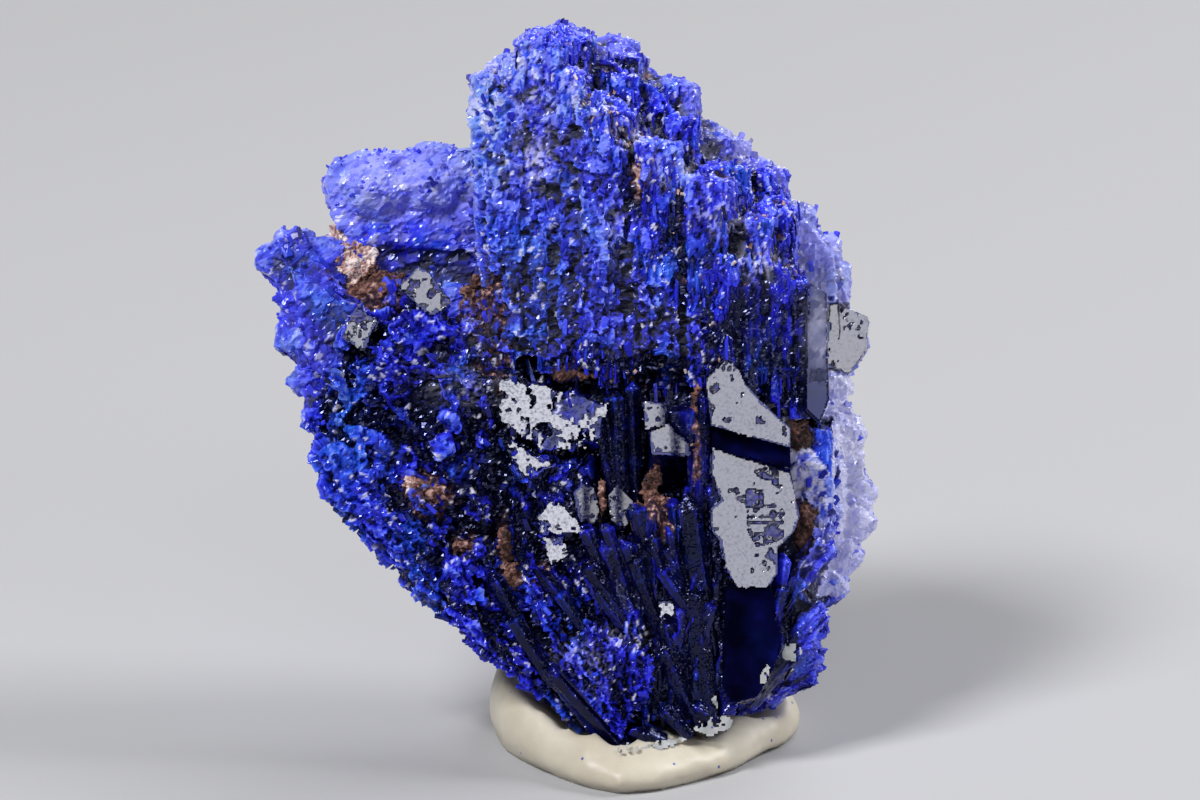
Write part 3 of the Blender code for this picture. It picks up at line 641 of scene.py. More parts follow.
def inside_outline(outline, a, u, margin=0.0):
    """Whether each place lies inside an outline, grown by a margin."""
    inside = np.zeros(len(a), dtype=bool)
    closest = np.full(len(a), 1e9)
    for (a0, u0), (a1, u1) in zip(outline, outline[1:] + outline[:1]):
        crosses = (u0 > u) != (u1 > u)
        with np.errstate(divide="ignore", invalid="ignore"):
            at = a0 + (u - u0) * (a1 - a0) / (u1 - u0)
        inside ^= crosses & (a < at)
        step = np.clip(((a - a0) * (a1 - a0) + (u - u0) * (u1 - u0)) / ((a1 - a0) ** 2 + (u1 - u0) ** 2), 0, 1)
        closest = np.minimum(closest, np.hypot(a - a0 - step * (a1 - a0), u - u0 - step * (u1 - u0)))
    return np.where(inside, closest, -closest) > -margin


def face_deep(face, a, u):
    """How deep a flat face lies at some places."""
    outline, deep, slope, _, bow = face
    off_a = a - sum(p[0] for p in outline) / len(outline)
    off_u = u - sum(p[1] for p in outline) / len(outline)
    return deep + slope[0] * off_a + slope[1] * off_u + bow * off_a**2


def smooth_places(a, u, d):
    """Where the skin lies under a flat face or on a glassy front."""
    quiet = np.zeros(len(a), dtype=bool)
    for name, face in FLAT.items():
        if name in PEARLY:
            continue
        quiet |= (np.abs(d - face_deep(face, a, u)) < 0.5) & inside_outline(face[0], a, u, 0.1)
    for outline, deep in GLASSY:
        quiet |= (np.abs(d - deep) < 1.0) & inside_outline(outline, a, u, 0.05)
    return quiet


# ---------------------------------------------------------------- zones
def crown_foot(across):
    """Up of the crown's ragged lower edge."""
    return 15.6 - 0.13 * (across + 5.0) - 1.1 * np.maximum(across - 5.2, 0.0)


def zones_of(places, normals):
    """Which part of the specimen each point belongs to, each point in one zone only."""
    a, u, d = to_sight(places)
    waver = smooth_noise(places / (1.3 * MM), 301)
    forward = -normals @ DEEP
    free = np.ones(len(a), dtype=bool)
    zones = {}

    def claim(name, mask):
        nonlocal free
        zones[name] = mask & free
        free = free & ~zones[name]

    claim("glassy", smooth_places(a, u, d))
    crown = (u > crown_foot(a) - 0.4) & (a > -7.4) & (a < 7.6) & (d < 8.4)
    front = crown & (forward > 0.2) & (d < 3.4)
    claim("crown_glass", front & (a > 3.0 + 0.5 * waver) & (u < 18.8 + 0.9 * waver))
    spongy = (a + 1.5 * waver < 0.7 * (22.6 - u) - 1.6) & (a < 2.2) & (u > 15.9 + 0.8 * waver)
    claim("crown_sponge", front & spongy)
    claim("crown_front", front)
    claim("crown_top", crown & (u > 17.0) & ((a > -6.9) | (d < 4.0)) & ~((d > 4.3) & (a > 3.0)))
    claim("back_ridge", (a > 2.4) & (u > 15.0) & (d > 3.8))
    claim("back_knob", (a < -5.6) & (d > 4.6) & (u > 20.2))
    claim("far_blades", (a < -6.0) & (d > 2.6) & (u > 12.0))
    claim("left_plate", (a < -5.2 + 0.4 * waver) & (d < 3.6) | (a < -3.9) & (u < 7.0) & (d < 2.6))
    claim("glare_flank", (a > 5.9) & (d > 2.6) & (u > 6.0) & (forward > -0.2))
    claim("right_flank", (a > 6.1) | (a > 3.8) & (d > 2.6) & (d < 7.0))
    claim("front_block", (u < 5.4) & (a < 0.3) & (d < 0.2))
    claim("front_left", (d < 2.9) & (u < 16.6) & (a < -2.2 + 0.5 * waver))
    claim("front_low", (d < 2.9) & (u < 16.6))
    claim("rear", free)
    return zones


def growth_grid(places, upright):
    """Millimetres across, behind and along the way the crystals grew: up the crown, elsewhere fanning out."""
    a, u, d = to_sight(places)
    reach = np.hypot(a - 0.4, u + 1.5)
    turn = np.arctan2(a - 0.4, u + 1.5)
    fan = np.stack([turn * 13.0, d + 0.1 * reach, reach], axis=1)
    return np.where(upright[:, None], np.stack([a, d, u], axis=1), fan)


# three sizes of crystal on the skin of each zone: width, length, height of the steps and tilt,
# then tone, frost with its painted glints, and how much painted light brightens the convex edges
SKIN = {
    "glassy": (((2.0, 4.0, 0.0, 0.0), (0.8, 3.0, 0.0, 0.0), (0.2, 0.4, 0.0, 0.2)), 0.04, 0.0, 0.1),
    "crown_sponge": (((1.1, 1.3, 0.26, 0.5), (0.42, 0.5, 0.24, 0.9), (0.17, 0.2, 0.12, 1.0)), 0.62, 0.04, 1.7),
    "crown_front": (((0.8, 1.6, 0.14, 0.3), (0.30, 0.7, 0.15, 0.5), (0.14, 0.26, 0.09, 0.8)), 0.50, 0.0, 1.7),
    "crown_glass": (((0.7, 2.6, 0.09, 0.3), (0.28, 1.0, 0.08, 0.4), (0.14, 0.4, 0.06, 0.8)), 0.42, 0.0, 1.4),
    "crown_top": (((1.0, 1.3, 0.10, 0.3), (0.42, 0.5, 0.10, 0.7), (0.18, 0.2, 0.09, 0.9)), 0.60, 0.14, 1.0),
    "back_ridge": (((1.0, 1.3, 0.10, 0.3), (0.44, 0.6, 0.10, 0.7), (0.24, 0.3, 0.09, 0.9)), 0.66, 0.4, 0.8),
    "back_knob": (((0.9, 1.0, 0.10, 0.3), (0.36, 0.4, 0.08, 0.6), (0.24, 0.26, 0.10, 0.9)), 0.76, 0.16, 0.6),
    "far_blades": (((1.0, 2.0, 0.20, 0.4), (0.40, 0.6, 0.14, 0.7), (0.22, 0.26, 0.09, 0.9)), 0.62, 0.05, 0.8),
    "left_plate": (((1.1, 1.7, 0.38, 0.6), (0.34, 0.5, 0.20, 0.9), (0.16, 0.2, 0.12, 1.0)), 0.40, 0.0, 1.3),
    # the flank's light tone and heavy frost are painted glare
    "glare_flank": (((1.2, 1.8, 0.12, 0.4), (0.5, 0.6, 0.1, 0.6), (0.22, 0.26, 0.1, 0.9)), 0.78, 0.7, 0.6),
    "right_flank": (((1.0, 1.6, 0.22, 0.5), (0.44, 0.6, 0.16, 0.8), (0.2, 0.26, 0.1, 0.9)), 0.45, 0.03, 0.9),
    "front_block": (((0.7, 0.9, 0.16, 0.5), (0.38, 0.44, 0.2, 0.9), (0.19, 0.21, 0.1, 1.0)), 0.33, 0.0, 1.3),
    # the front's low tones darken the hollow, partly as painted shade
    "front_left": (((0.9, 1.6, 0.26, 0.5), (0.4, 0.6, 0.2, 0.8), (0.16, 0.2, 0.1, 1.0)), 0.16, 0.0, 1.4),
    "front_low": (((0.6, 2.6, 0.10, 0.2), (0.34, 1.8, 0.05, 0.2), (0.2, 0.6, 0.03, 0.4)), 0.10, 0.0, 1.4),
    "rear": (((1.1, 2.2, 0.26, 0.4), (0.5, 1.1, 0.24, 0.6), (0.3, 0.5, 0.08, 0.8)), 0.48, 0.02, 0.8),
}
# zones whose crystals stand upright; elsewhere they fan out from the root
UPRIGHT = ("crown_sponge", "crown_front", "crown_glass", "crown_top", "back_ridge")


# spots of painted light and shade, paler for highlights, glints and glare, darker for shade and shadow: across,
# up, half width, half height, tone, frost
LIGHT_AND_SHADE_SPOTS = [
    (-9.6, 22.8, 3.2, 1.5, 0.12, 0.22), (7.8, 12.4, 1.5, 2.4, 0.2, 0.6),
    (-6.3, 26.0, 0.5, 1.6, 0.16, 0.35), (-6.6, 25.6, 0.5, 0.9, 0.2, 0.35),
    (-2.8, 26.4, 0.5, 0.4, 0.1, 0.4), (-2.3, 25.7, 0.6, 0.4, 0.1, 0.35),
    (-0.4, 24.7, 0.9, 0.5, 0.1, 0.4), (1.2, 23.2, 0.9, 0.6, 0.1, 0.4), (3.0, 21.4, 0.9, 0.6, 0.1, 0.4),
    (4.6, 19.6, 0.9, 0.6, 0.1, 0.35), (2.6, 24.2, 0.6, 0.5, -0.3, 0.1),
    (-5.2, 24.5, 0.9, 0.5, -0.3, 0.0), (-3.7, 22.2, 0.7, 0.5, -0.25, 0.0),
    (-4.6, 19.2, 0.8, 0.7, -0.3, 0.0), (-5.6, 20.9, 0.6, 0.7, -0.2, 0.0),
    (-6.2, 17.4, 0.7, 1.8, -0.3, 0.0), (-1.5, 15.2, 4.6, 0.8, -0.5, 0.0),
    (-5.9, 12.0, 0.5, 2.8, -0.4, 0.0), (-5.3, 8.4, 0.5, 2.0, -0.4, 0.0),
    (-6.6, 16.4, 0.6, 1.8, -0.3, 0.0), (5.6, 14.2, 1.6, 1.3, -0.2, 0.0),
    (7.6, 11.8, 1.5, 2.4, 0.1, 0.45), (8.4, 16.6, 0.9, 1.4, 0.1, 0.6), (7.3, 12.4, 1.4, 2.0, 0.25, 1.0),
    (8.2, 10.4, 0.9, 1.4, 0.2, 0.45), (-4.6, 26.2, 2.1, 2.4, 0.14, 0.16),
    (-2.7, 3.9, 0.9, 0.5, 0.1, 0.16), (-0.4, 2.0, 0.8, 1.4, -0.25, 0.0),
    (6.9, 12.2, 1.1, 2.4, 0.3, 0.8), (7.0, 6.8, 0.9, 1.2, 0.05, 0.05),
    (-9.6, 13.2, 1.4, 1.6, -0.25, 0.0), (-7.4, 8.8, 1.6, 1.6, -0.25, 0.0),
    (-6.2, 12.0, 1.0, 2.6, -0.3, 0.0), (-5.4, 4.6, 1.6, 1.4, -0.25, 0.0),
    (-7.2, 14.6, 1.3, 0.7, 0.05, 0.15), (-10.2, 20.4, 2.6, 0.35, -0.3, -0.2),
    (-9.6, 21.0, 3.2, 0.7, -0.12, -0.2), (-9.2, 19.2, 2.8, 0.9, -0.15, 0.0),
    (-4.0, 10.8, 1.0, 0.9, 0.1, 0.0), (-3.9, 6.6, 0.9, 1.0, 0.1, 0.0), (-5.0, 5.4, 0.6, 0.9, 0.15, 0.0),
    (-1.9, 3.0, 0.5, 0.8, 0.05, 0.12), (-1.0, 4.6, 0.6, 0.35, 0.1, 0.3),
    (0.6, 7.6, 2.2, 1.8, -0.15, 0.0), (1.6, 4.2, 1.0, 2.2, -0.1, 0.0),
    (-3.6, 17.2, 2.6, 1.3, -0.24, 0.0), (0.6, 16.6, 2.6, 1.4, -0.24, 0.0),
    (3.6, 16.4, 1.8, 1.2, -0.18, 0.0), (7.0, 16.9, 0.45, 1.4, -0.1, 0.45),
    (-5.6, 27.6, 1.2, 0.4, 0.15, 0.4), (-4.4, 23.6, 0.5, 0.9, 0.0, 0.35),
    (-1.2, 20.6, 0.5, 0.9, 0.0, 0.3),
]


# places where the blue leans to the colour of the sky: across, up, half width, half height, share
SKY = [
    (-6.4, 25.2, 1.1, 2.6, 1.1), (-4.4, 19.6, 2.0, 2.2, 0.7), (-2.4, 25.8, 1.0, 0.7, 0.8),
    (-11.8, 13.0, 1.0, 2.8, 0.9), (-9.4, 8.8, 1.0, 1.6, 0.6), (7.6, 11.0, 1.2, 2.6, 0.6),
]


# clay in the clefts: across, up, deep, their half sizes, and tone
CLAY = [
    (-12.0, 19.5, 5.2, 1.0, 1.1, 0.9, 0.95), (-10.5, 18.3, 4.2, 1.3, 0.7, 0.9, 0.45),
    (-6.5, 17.6, 2.2, 0.8, 1.2, 0.9, 0.5), (-6.0, 15.6, 1.4, 0.5, 0.9, 0.6, 0.45),
    (-8.6, 10.2, 0.25, 0.75, 0.55, 0.5, 0.6), (-9.3, 10.6, 0.3, 0.4, 0.3, 0.3, 0.7),
    (0.4, 9.9, 0.15, 0.42, 0.8, 0.5, 0.5), (-0.3, 9.3, 0.15, 0.16, 0.8, 0.4, 0.6),
    (0.9, 9.2, 0.2, 0.18, 0.9, 0.4, 0.55), (2.1, 12.3, 0.1, 0.2, 1.6, 0.5, 0.5),
    (0.4, 10.9, 0.3, 0.2, 0.8, 0.4, 0.45), (-1.7, 10.0, 0.0, 0.1, 0.8, 0.3, 0.65),
    (-5.6, 8.2, 0.3, 0.2, 0.9, 0.4, 0.5), (-5.3, 7.0, 0.3, 0.25, 0.4, 0.3, 0.55),
    (-4.1, 6.9, 0.25, 0.25, 0.35, 0.3, 0.5), (6.4, 9.0, 1.0, 0.3, 0.9, 0.5, 0.3),
    (6.2, 12.6, 1.2, 0.4, 0.6, 0.5, 0.25), (2.1, 9.3, 0.1, 0.1, 0.6, 0.3, 0.6),
    (-0.2, 22.9, 0.3, 0.16, 0.6, 0.3, 0.75), (-3.0, 15.0, 0.4, 0.9, 0.2, 0.3, 0.35),
    (5.4, 22.4, 4.4, 0.3, 0.3, 0.3, 0.8), (3.2, 22.7, 1.6, 0.2, 0.5, 0.3, 0.6),
    (5.3, 20.6, 3.6, 0.3, 0.3, 0.3, 0.85), (-7.3, 8.2, 0.3, 0.3, 0.3, 0.3, 0.5),
]


def spread_over_edges(mesh, places, rounds):
    """Places averaged with their neighbours, several times over."""
    edges = np.empty(len(mesh.edges) * 2, dtype=np.int64)
    mesh.edges.foreach_get("vertices", edges)
    ends = np.concatenate([edges[::2], edges[1::2]])
    others = np.concatenate([edges[1::2], edges[::2]])
    share = np.maximum(np.bincount(ends, minlength=len(places)), 1)
    for _ in range(rounds):
        places = np.stack(
            [np.bincount(ends, places[others, k], minlength=len(places)) / share for k in range(3)], axis=1
        )
    return places


SKIN_SALT = 11
# how much each of the three sizes of crystal varies the blue
MOTTLE = (0.26, 0.34, 0.24)
# mm from the front of a flat face back to the skin: under a closed face, and under one with holes
SEAT, OPEN_SEAT = 0.07, 0.13
# tone of the lightest facets, and the least tone in the clefts of the back ridge and the glare flank, kept
# light there instead of painted shade
LIGHTEST, LIT_CLEFT_TONE = 0.86, 0.5
# the most frost on the skin: pale dust, and painted glints and glare
MOST_FROST_AND_GLINT = 0.9
# how deep in mm the spots of painted light and shade, and the sky blue, reach
SPOTS_DEEP, SKY_DEEP = 9.0, 6.0
# the flank lies right of one line and below the other, in mm across and up
FLANK_ACROSS, FLANK_UP = 5.0, 15.0


def facet_skin(obj, voxel):
    """Break a remeshed skin into little stepped, tilted crystal faces, and store tone with painted light and
    shade, and frost with painted glints.
    """
    places, normals = points_of(obj.data)
    smooth_normals = unit(spread_over_edges(obj.data, normals, 2))
    zones = zones_of(places, normals)
    count = len(places)
    upright = np.zeros(count, dtype=bool)
    layers = np.zeros((3, 4, count))
    tone, frost, edge_highlight = np.zeros(count), np.zeros(count), np.zeros(count)
    for name, mask in zones.items():
        recipe, tone[mask], frost[mask], edge_highlight[mask] = SKIN[name]
        layers[:, :, mask] = np.array(recipe)[:, :, None]
        upright |= mask & (name in UPRIGHT)
    grid = growth_grid(places, upright)
    warp = 0.12 * np.stack([smooth_noise(places / (0.6 * MM), 71 + k) for k in range(3)], axis=1)
    shift = 0.18 * smooth_noise(grid / 1.7, SKIN_SALT + 80) * (layers[0, 2] > 0)
    mottle = np.zeros(count)
    calm = np.where(zones["glassy"], 0.25, np.where(zones["front_low"] | zones["back_knob"], 0.6, 1.0))
    for k, (width, length, step, tilt) in enumerate(layers):
        size = np.stack([width, width * 1.3, length], axis=1)
        offset, numbers = cell_noise((grid + warp) / size, 17 + 40 * k)
        slope = tilt * (offset[:, 0] * (numbers[:, 1] - 0.5) + offset[:, 2] * (numbers[:, 2] - 0.5)) * 2
        shift += step * (numbers[:, 0] - 0.68 + slope)
        mottle += MOTTLE[k] * (numbers[:, 1] - 0.5) * calm
    places = places + smooth_normals * (shift * MM)[:, None]
    a, u, d = to_sight(places)
    for name, face in FLAT.items():
        open_work = name in PEARLY
        seat = face_deep(face, a, u) + (OPEN_SEAT if open_work else SEAT)
        under = (np.abs(d - seat) < 0.6) & (normals @ DEEP < -0.4) & inside_outline(face[0], a, u, 0.06)
        under &= (d < seat) | (not open_work)
        places = places + DEEP * (np.where(under, seat - d, 0.0) * MM)[:, None]
    places = np.clip(places, BOX_LOW, BOX_HIGH)
    obj.data.vertices.foreach_set("co", places.ravel())
    rounded = spread_over_edges(obj.data, places, 8)
    relief = np.sum((places - rounded) * smooth_normals, axis=1) / (voxel * MM)
    # painted shade: the tone darkens in clefts and hollows
    cleft_shade = np.sum((rounded - spread_over_edges(obj.data, rounded, 60)) * smooth_normals, axis=1) / MM
    # painted light: convex edges and ridges are lit up
    tone = tone + mottle + edge_highlight * np.clip(0.16 * relief, -0.35, 0.35) + np.clip(1.9 * cleft_shade, -0.5, 0.14)
    # on the back ridge and the glare flank the clefts take no painted shade and stay light
    tone = np.where(zones["back_ridge"] | zones["glare_flank"], np.maximum(tone, LIT_CLEFT_TONE), tone)
    # painted glints: a few of the smallest crystals on convex edges are whitened
    grainy = ~(zones["glassy"] | zones["crown_glass"] | zones["front_low"])
    frost = frost + 0.75 * (numbers[:, 2] > 0.945) * edge_highlight * (relief > 0.1) * grainy
    a, u, d = to_sight(places)
    ragged = 0.35 * smooth_noise(places / (0.8 * MM), 61) + 0.2 * smooth_noise(places / (0.3 * MM), 62)
    # painted light and shade in spots: tone raised or lowered, and painted glints and glare added to the frost
    for spot_a, spot_u, half_a, half_u, painted_light_and_shade, painted_glint in LIGHT_AND_SHADE_SPOTS:
        near = np.exp(-(((a - spot_a) / half_a) ** 2 + ((u - spot_u) / half_u) ** 2)) * (d < SPOTS_DEEP)
        # the painted glare of the flank stops where the crown begins
        if spot_a > FLANK_ACROSS and spot_u < FLANK_UP and painted_glint > 0.3:
            near = near * ~(zones["crown_glass"] | zones["crown_front"] | zones["glassy"])
        tone += painted_light_and_shade * near * (1 + ragged)
        sparkle = 1.0 if spot_a > FLANK_ACROSS else 3.2
        frost += painted_glint * near * np.clip(0.45 + ragged + sparkle * (numbers[:, 0] - 0.5), 0.0, 2.0)
    sky = np.zeros(count)
    for spot_a, spot_u, half_a, half_u, share in SKY:
        near = np.exp(-(((a - spot_a) / half_a) ** 2 + ((u - spot_u) / half_u) ** 2)) * (d < SKY_DEEP)
        sky = np.maximum(sky, share * near * (1 + 1.6 * ragged))
    earth = np.zeros(count)
    for spot_a, spot_u, spot_d, half_a, half_u, half_d, _ in CLAY:
        off = ((a - spot_a) / (half_a + 0.1)) ** 2 + ((u - spot_u) / (half_u + 0.1)) ** 2
        off += ((d - spot_d) / (half_d + 0.8)) ** 2
        earth = np.maximum(earth, np.exp(-off) * (1 + 2.4 * ragged) - 0.3 * np.clip(relief, -1, 2))
    # pinkish crumbs caught in the clefts of the crown and the front
    crumbs = (relief < -0.25) & (numbers[:, 1] > 0.93) & (zones["crown_front"] | zones["crown_top"])
    earth = np.clip((earth - 0.35) * 5.0, 0.0, 1.0) * (1 - zones["glassy"]) + 0.8 * crumbs
    polish = np.where(zones["glassy"], 1.0, 0.85 * (numbers[:, 0] > 0.62))
    add_attribute(obj.data, "earth", np.clip(earth, 0.0, 1.0))
    add_attribute(obj.data, "sky", np.clip(sky, 0.0, 0.9))
    add_attribute(obj.data, "tone", np.clip(tone, 0.0, LIGHTEST))
    add_attribute(obj.data, "frost", np.clip(frost, 0.0, MOST_FROST_AND_GLINT))
    add_attribute(obj.data, "polish", polish)
    obj.data.update()
    obj.data.shade_flat()
    return places, smooth_normals, relief


def keep_box(obj, low, high):
    """Keep the part of a closed body inside a box given in across, up and deep."""
    corners = [sight(a, u, d) for a in (low[0], high[0]) for u in (low[1], high[1]) for d in (low[2], high[2])]
    box = mesh_object("saw_box", *hull_shape(corners))
    apply_modifier(obj, "BOOLEAN", operation="INTERSECT", solver="EXACT", object=box)
    bpy.data.objects.remove(box)


# how far in mm the parts of the skin run past each other, so that no seam shows
LAP = 0.4
# the cluster is skinned in parts: name, voxel, then the lowest and highest across, up and deep
PARTS = [
    ("crown_skin", 0.089, (-7.4 - LAP, 15.0 - LAP, -4.0), (12.0, 32.0, 4.0 + LAP)),
    ("front_skin", 0.085, (-5.0 - LAP, -4.0, -4.0), (2.3 + LAP, 15.0 + LAP, 4.0 + LAP)),
    ("right_skin", 0.085, (2.3 - LAP, -4.0, -4.0), (12.0, 15.0 + LAP, 4.0 + LAP)),
    ("left_skin", 0.1, (-20.0, -4.0, -4.0), (-5.0 + LAP, 15.0 + LAP, 4.0 + LAP)),
    ("upper_left_skin", 0.1, (-20.0, 15.0 - LAP, -4.0), (-7.4 + LAP, 32.0, 4.0 + LAP)),
    ("rear_left_skin", 0.13, (-20.0, -4.0, 4.0 - LAP), (-3.0 + LAP, 32.0, 16.0)),
    ("rear_right_skin", 0.13, (-3.0 - LAP, -4.0, 4.0 - LAP), (12.0, 32.0, 16.0)),
]

druse = azurite_material("azurite_druse", 0.24, 0.36)
shade = azurite_material("azurite_shaded_face", 0.2, 0.12)
blade_blue = azurite_material("azurite_blade", 0.17, 0.3)
clay = clay_material()
cleavage = mirror_material("azurite_cleavage_face", 0.55, 0.24)
pearly = mirror_material("azurite_pearly_face", 0.9, 0.34)
tack = tack_material("mineral_tack", ("#b8af9e", "#c6bfae", "#d4cdbf"))
film = tack_material("mineral_tack_film", ("#83868d", "#a3a5a8", "#c2c1bf"))

guides = []
for name, voxel, low, high in PARTS:
    part = merged_copy("azurite_cluster", name)
    keep_box(part, low, high)
    apply_modifier(part, "REMESH", mode="VOXEL", voxel_size=voxel * MM)
    places, normals, relief = facet_skin(part, voxel)
    finish_piece(part, druse)
    guides.append((places, normals, relief, np.full(len(places), voxel**2)))
for name, *_ in PARTS:
    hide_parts("azurite_cluster")
guide_places, guide_normals, guide_relief, guide_area = [np.concatenate(column) for column in zip(*guides)]


# ---------------------------------------------------------------- mirror faces
def grow_face(name, face, material, pitch=0.05, wall=0.22):
    """A thin plate with a flat polished front, a ragged edge and etched pits."""
    outline, deep, _, etched, _ = face
    low_a, low_u = (min(p[k] for p in outline) - 0.1 for k in (0, 1))
    high_a, high_u = (max(p[k] for p in outline) + 0.1 for k in (0, 1))
    columns, rows = int((high_a - low_a) / pitch) + 1, int((high_u - low_u) / pitch) + 1
    a, u = np.meshgrid(low_a + pitch * np.arange(columns), low_u + pitch * np.arange(rows))
    a, u = a.ravel(), u.ravel()
    flat = np.stack([a, u, np.zeros(len(a))], axis=1)
    salt = int(abs(deep) * 100) + len(outline) * 7
    fray = (0.04 + 0.12 * etched) * (smooth_noise(flat / 0.5, salt) + smooth_noise(flat / 0.16, salt + 1))
    shape = np.zeros(len(a), dtype=bool)
    for margin in (-0.15, -0.1, -0.05, 0.0, 0.05):
        shape |= inside_outline(outline, a, u, margin) & (fray > margin)
    shape = shape.reshape(rows, columns)
    # pits: small round holes, ragged hollows and fine cracks along the grain
    hollow = smooth_noise(flat / 0.8, salt + 2) + 0.9 * smooth_noise(flat / 0.26, salt + 3)
    hollow += 0.6 * smooth_noise(flat / 0.12, salt + 4) + 0.25 * (a - a.mean()) * (name == "pitted_face")
    ragged = np.stack([smooth_noise(flat / 0.13, salt + k) for k in (6, 7, 8)], axis=1) * 0.25
    offset, numbers = cell_noise(flat / 0.42 + ragged, salt + 5)
    dotted = 0.16 if etched > 0.1 else 0.08
    dots = (np.linalg.norm(offset[:, :2], axis=1) < 0.12 + 0.2 * numbers[:, 1]) & (numbers[:, 0] < dotted)
    level = np.quantile(hollow[shape.ravel()], 1.0 - etched)
    pit = np.clip((hollow - level) * 3.0, 0.0, 1.0)
    if name == "mirror_face_lower":
        patch = inside_outline([(4.0, 10.5), (5.6, 10.3), (5.5, 8.5), (4.5, 8.1), (4.1, 8.8)], a, u, 0.0)
        rungs = smooth_noise(flat / (0.5, 0.11, 1.0), 9) + 0.8 * smooth_noise(flat / (0.16, 0.3, 1.0), 10)
        pit = np.where(patch, np.clip(rungs * 2.2 + 0.2, 0.0, 1.0), pit)
    pit = np.maximum(pit, dots * 0.9) if etched else 0.0 * pit
    front = face_deep(face, a, u) - 0.03
    if material is film or material is pearly:
        shape &= (hollow < level).reshape(rows, columns)
    if material is film:
        front += 0.1 * smooth_noise(flat / 0.35, salt + 13)
    quads = shape[:-1, :-1] & shape[1:, :-1] & shape[:-1, 1:] & shape[1:, 1:]
    index = np.full(rows * columns, -1)
    corners = [(0, 0), (0, 1), (1, 1), (1, 0)]
    row, column = np.nonzero(quads)
    square = np.stack([(row + r) * columns + column + c for r, c in corners], axis=1)
    used = np.unique(square)
    index[used] = np.arange(len(used))
    square = index[square]
    floor = 0.07 + 0.07 * smooth_noise(flat / 0.14, salt + 11)
    top = np.array([sight(*p) for p in zip(a[used], u[used], (front + floor * pit)[used])])
    back = np.array([sight(*p) for p in zip(a[used], u[used], (front + wall)[used])])
    count = len(used)
    sides = np.concatenate([square[:, [k, (k + 1) % 4]] for k in range(4)])
    key = sides[:, 0] * count + sides[:, 1]
    opposite = sides[:, 1] * count + sides[:, 0]
    rim = sides[~np.isin(key, opposite)]
    quad_faces = np.concatenate([
        square,
        square[:, ::-1] + count,
        np.stack([rim[:, 1], rim[:, 0], rim[:, 0] + count, rim[:, 1] + count], axis=1),
    ])
    triangles = np.concatenate([quad_faces[:, [0, 1, 2]], quad_faces[:, [0, 2, 3]]])
    places = np.concatenate([top, back])
    etch = np.concatenate([pit[used], np.ones(count)])
    depth = 0.10 + 0.16 * smooth_noise(places / (0.9 * MM, 0.9 * MM, 1.6 * MM), salt + 12)
    obj = mesh_object(name, places, triangles, etched=etch, tone=depth, polish=np.full(len(places), 0.9))
    finish_piece(obj, material)


for face_name, face in FILMS.items():
    grow_face(face_name, face, film, wall=0.12)
for face_name, face in FLAT.items():
    if face_name in PEARLY:
        grow_face(face_name, face, pearly, pitch=0.04, wall=0.12)
    else:
        grow_face(face_name, face, shade if face_name in SHADED else cleavage)


# ---------------------------------------------------------------- the tack pad
PAD_VOXEL = 0.16
PAD_MIDDLE = np.array((0, 0.95, 0)) * MM


def shape_pad():
    """The holder's putty, pressed by finger: remeshed, smoothed and swollen a little by rolling noise, its base
    kept flat.
    """
    pad = merged_copy("tack_pad", "tack_putty")
    apply_modifier(pad, "REMESH", mode="VOXEL", voxel_size=PAD_VOXEL * MM)
    apply_modifier(pad, "SMOOTH", factor=0.8, iterations=14)
    places, normals = points_of(pad.data)
    middle = places - PAD_MIDDLE
    swell = 0.16 * smooth_noise(middle / (2.6 * MM), 5) + 0.07 * smooth_noise(middle / (1.1 * MM), 6)
    swell += 0.02 * smooth_noise(middle / (0.35 * MM), 7)
    base = places[:, 2] < 0.25 * MM
    places = places + normals * (swell * MM * ~base)[:, None]
    places[:, 2] = np.where(places[:, 2] < 0.09 * MM, 0.0, places[:, 2])
    places = np.clip(places, np.array(cad_box[0]), np.array(cad_box[1]))
    pad.data.vertices.foreach_set("co", places.ravel())
    pad.data.update()
    pad.data.shade_smooth()
    finish_piece(pad, tack)
    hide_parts("tack_pad")


shape_pad()


# ---------------------------------------------------------------- clay and blades
CLAY_VOXEL, BLADE_VOXEL = 0.07, 0.055


def ball_shape(levels):
    """A round ball one unit in radius, as places and triangles."""
    bm = bmesh.new()
    bmesh.ops.create_icosphere(bm, subdivisions=levels, radius=1.0)
    places = np.array([v.co[:] for v in bm.verts])
    triangles = np.array([[v.index for v in f.verts] for f in bm.faces])
    bm.free()
    return places, triangles


def joined(name, shapes):
    """One mesh of many closed shapes."""
    starts = np.cumsum([0] + [len(places) for places, _ in shapes])
    triangles = [faces + start for (_, faces), start in zip(shapes, starts)]
    return mesh_object(name, np.concatenate([places for places, _ in shapes]), np.concatenate(triangles))


def roughen(obj, voxel, grains):
    """Fuse a body into one closed skin, broken into facets of the given sizes and heights in mm."""
    apply_modifier(obj, "REMESH", mode="VOXEL", voxel_size=voxel * MM)
    places, normals = points_of(obj.data)
    smooth_normals = unit(spread_over_edges(obj.data, normals, 2))
    shift = np.zeros(len(places))
    for k, (size, height) in enumerate(grains):
        offset, numbers = cell_noise(places / (size * MM), 500 + 40 * k)
        shift += height * (numbers[:, 0] - 0.5 + 0.8 * offset[:, 0] * (numbers[:, 1] - 0.5))
    places = np.clip(places + smooth_normals * (shift * MM)[:, None], BOX_LOW, BOX_HIGH)
    obj.data.vertices.foreach_set("co", places.ravel())
    obj.data.update()
    obj.data.shade_flat()
    return places, numbers


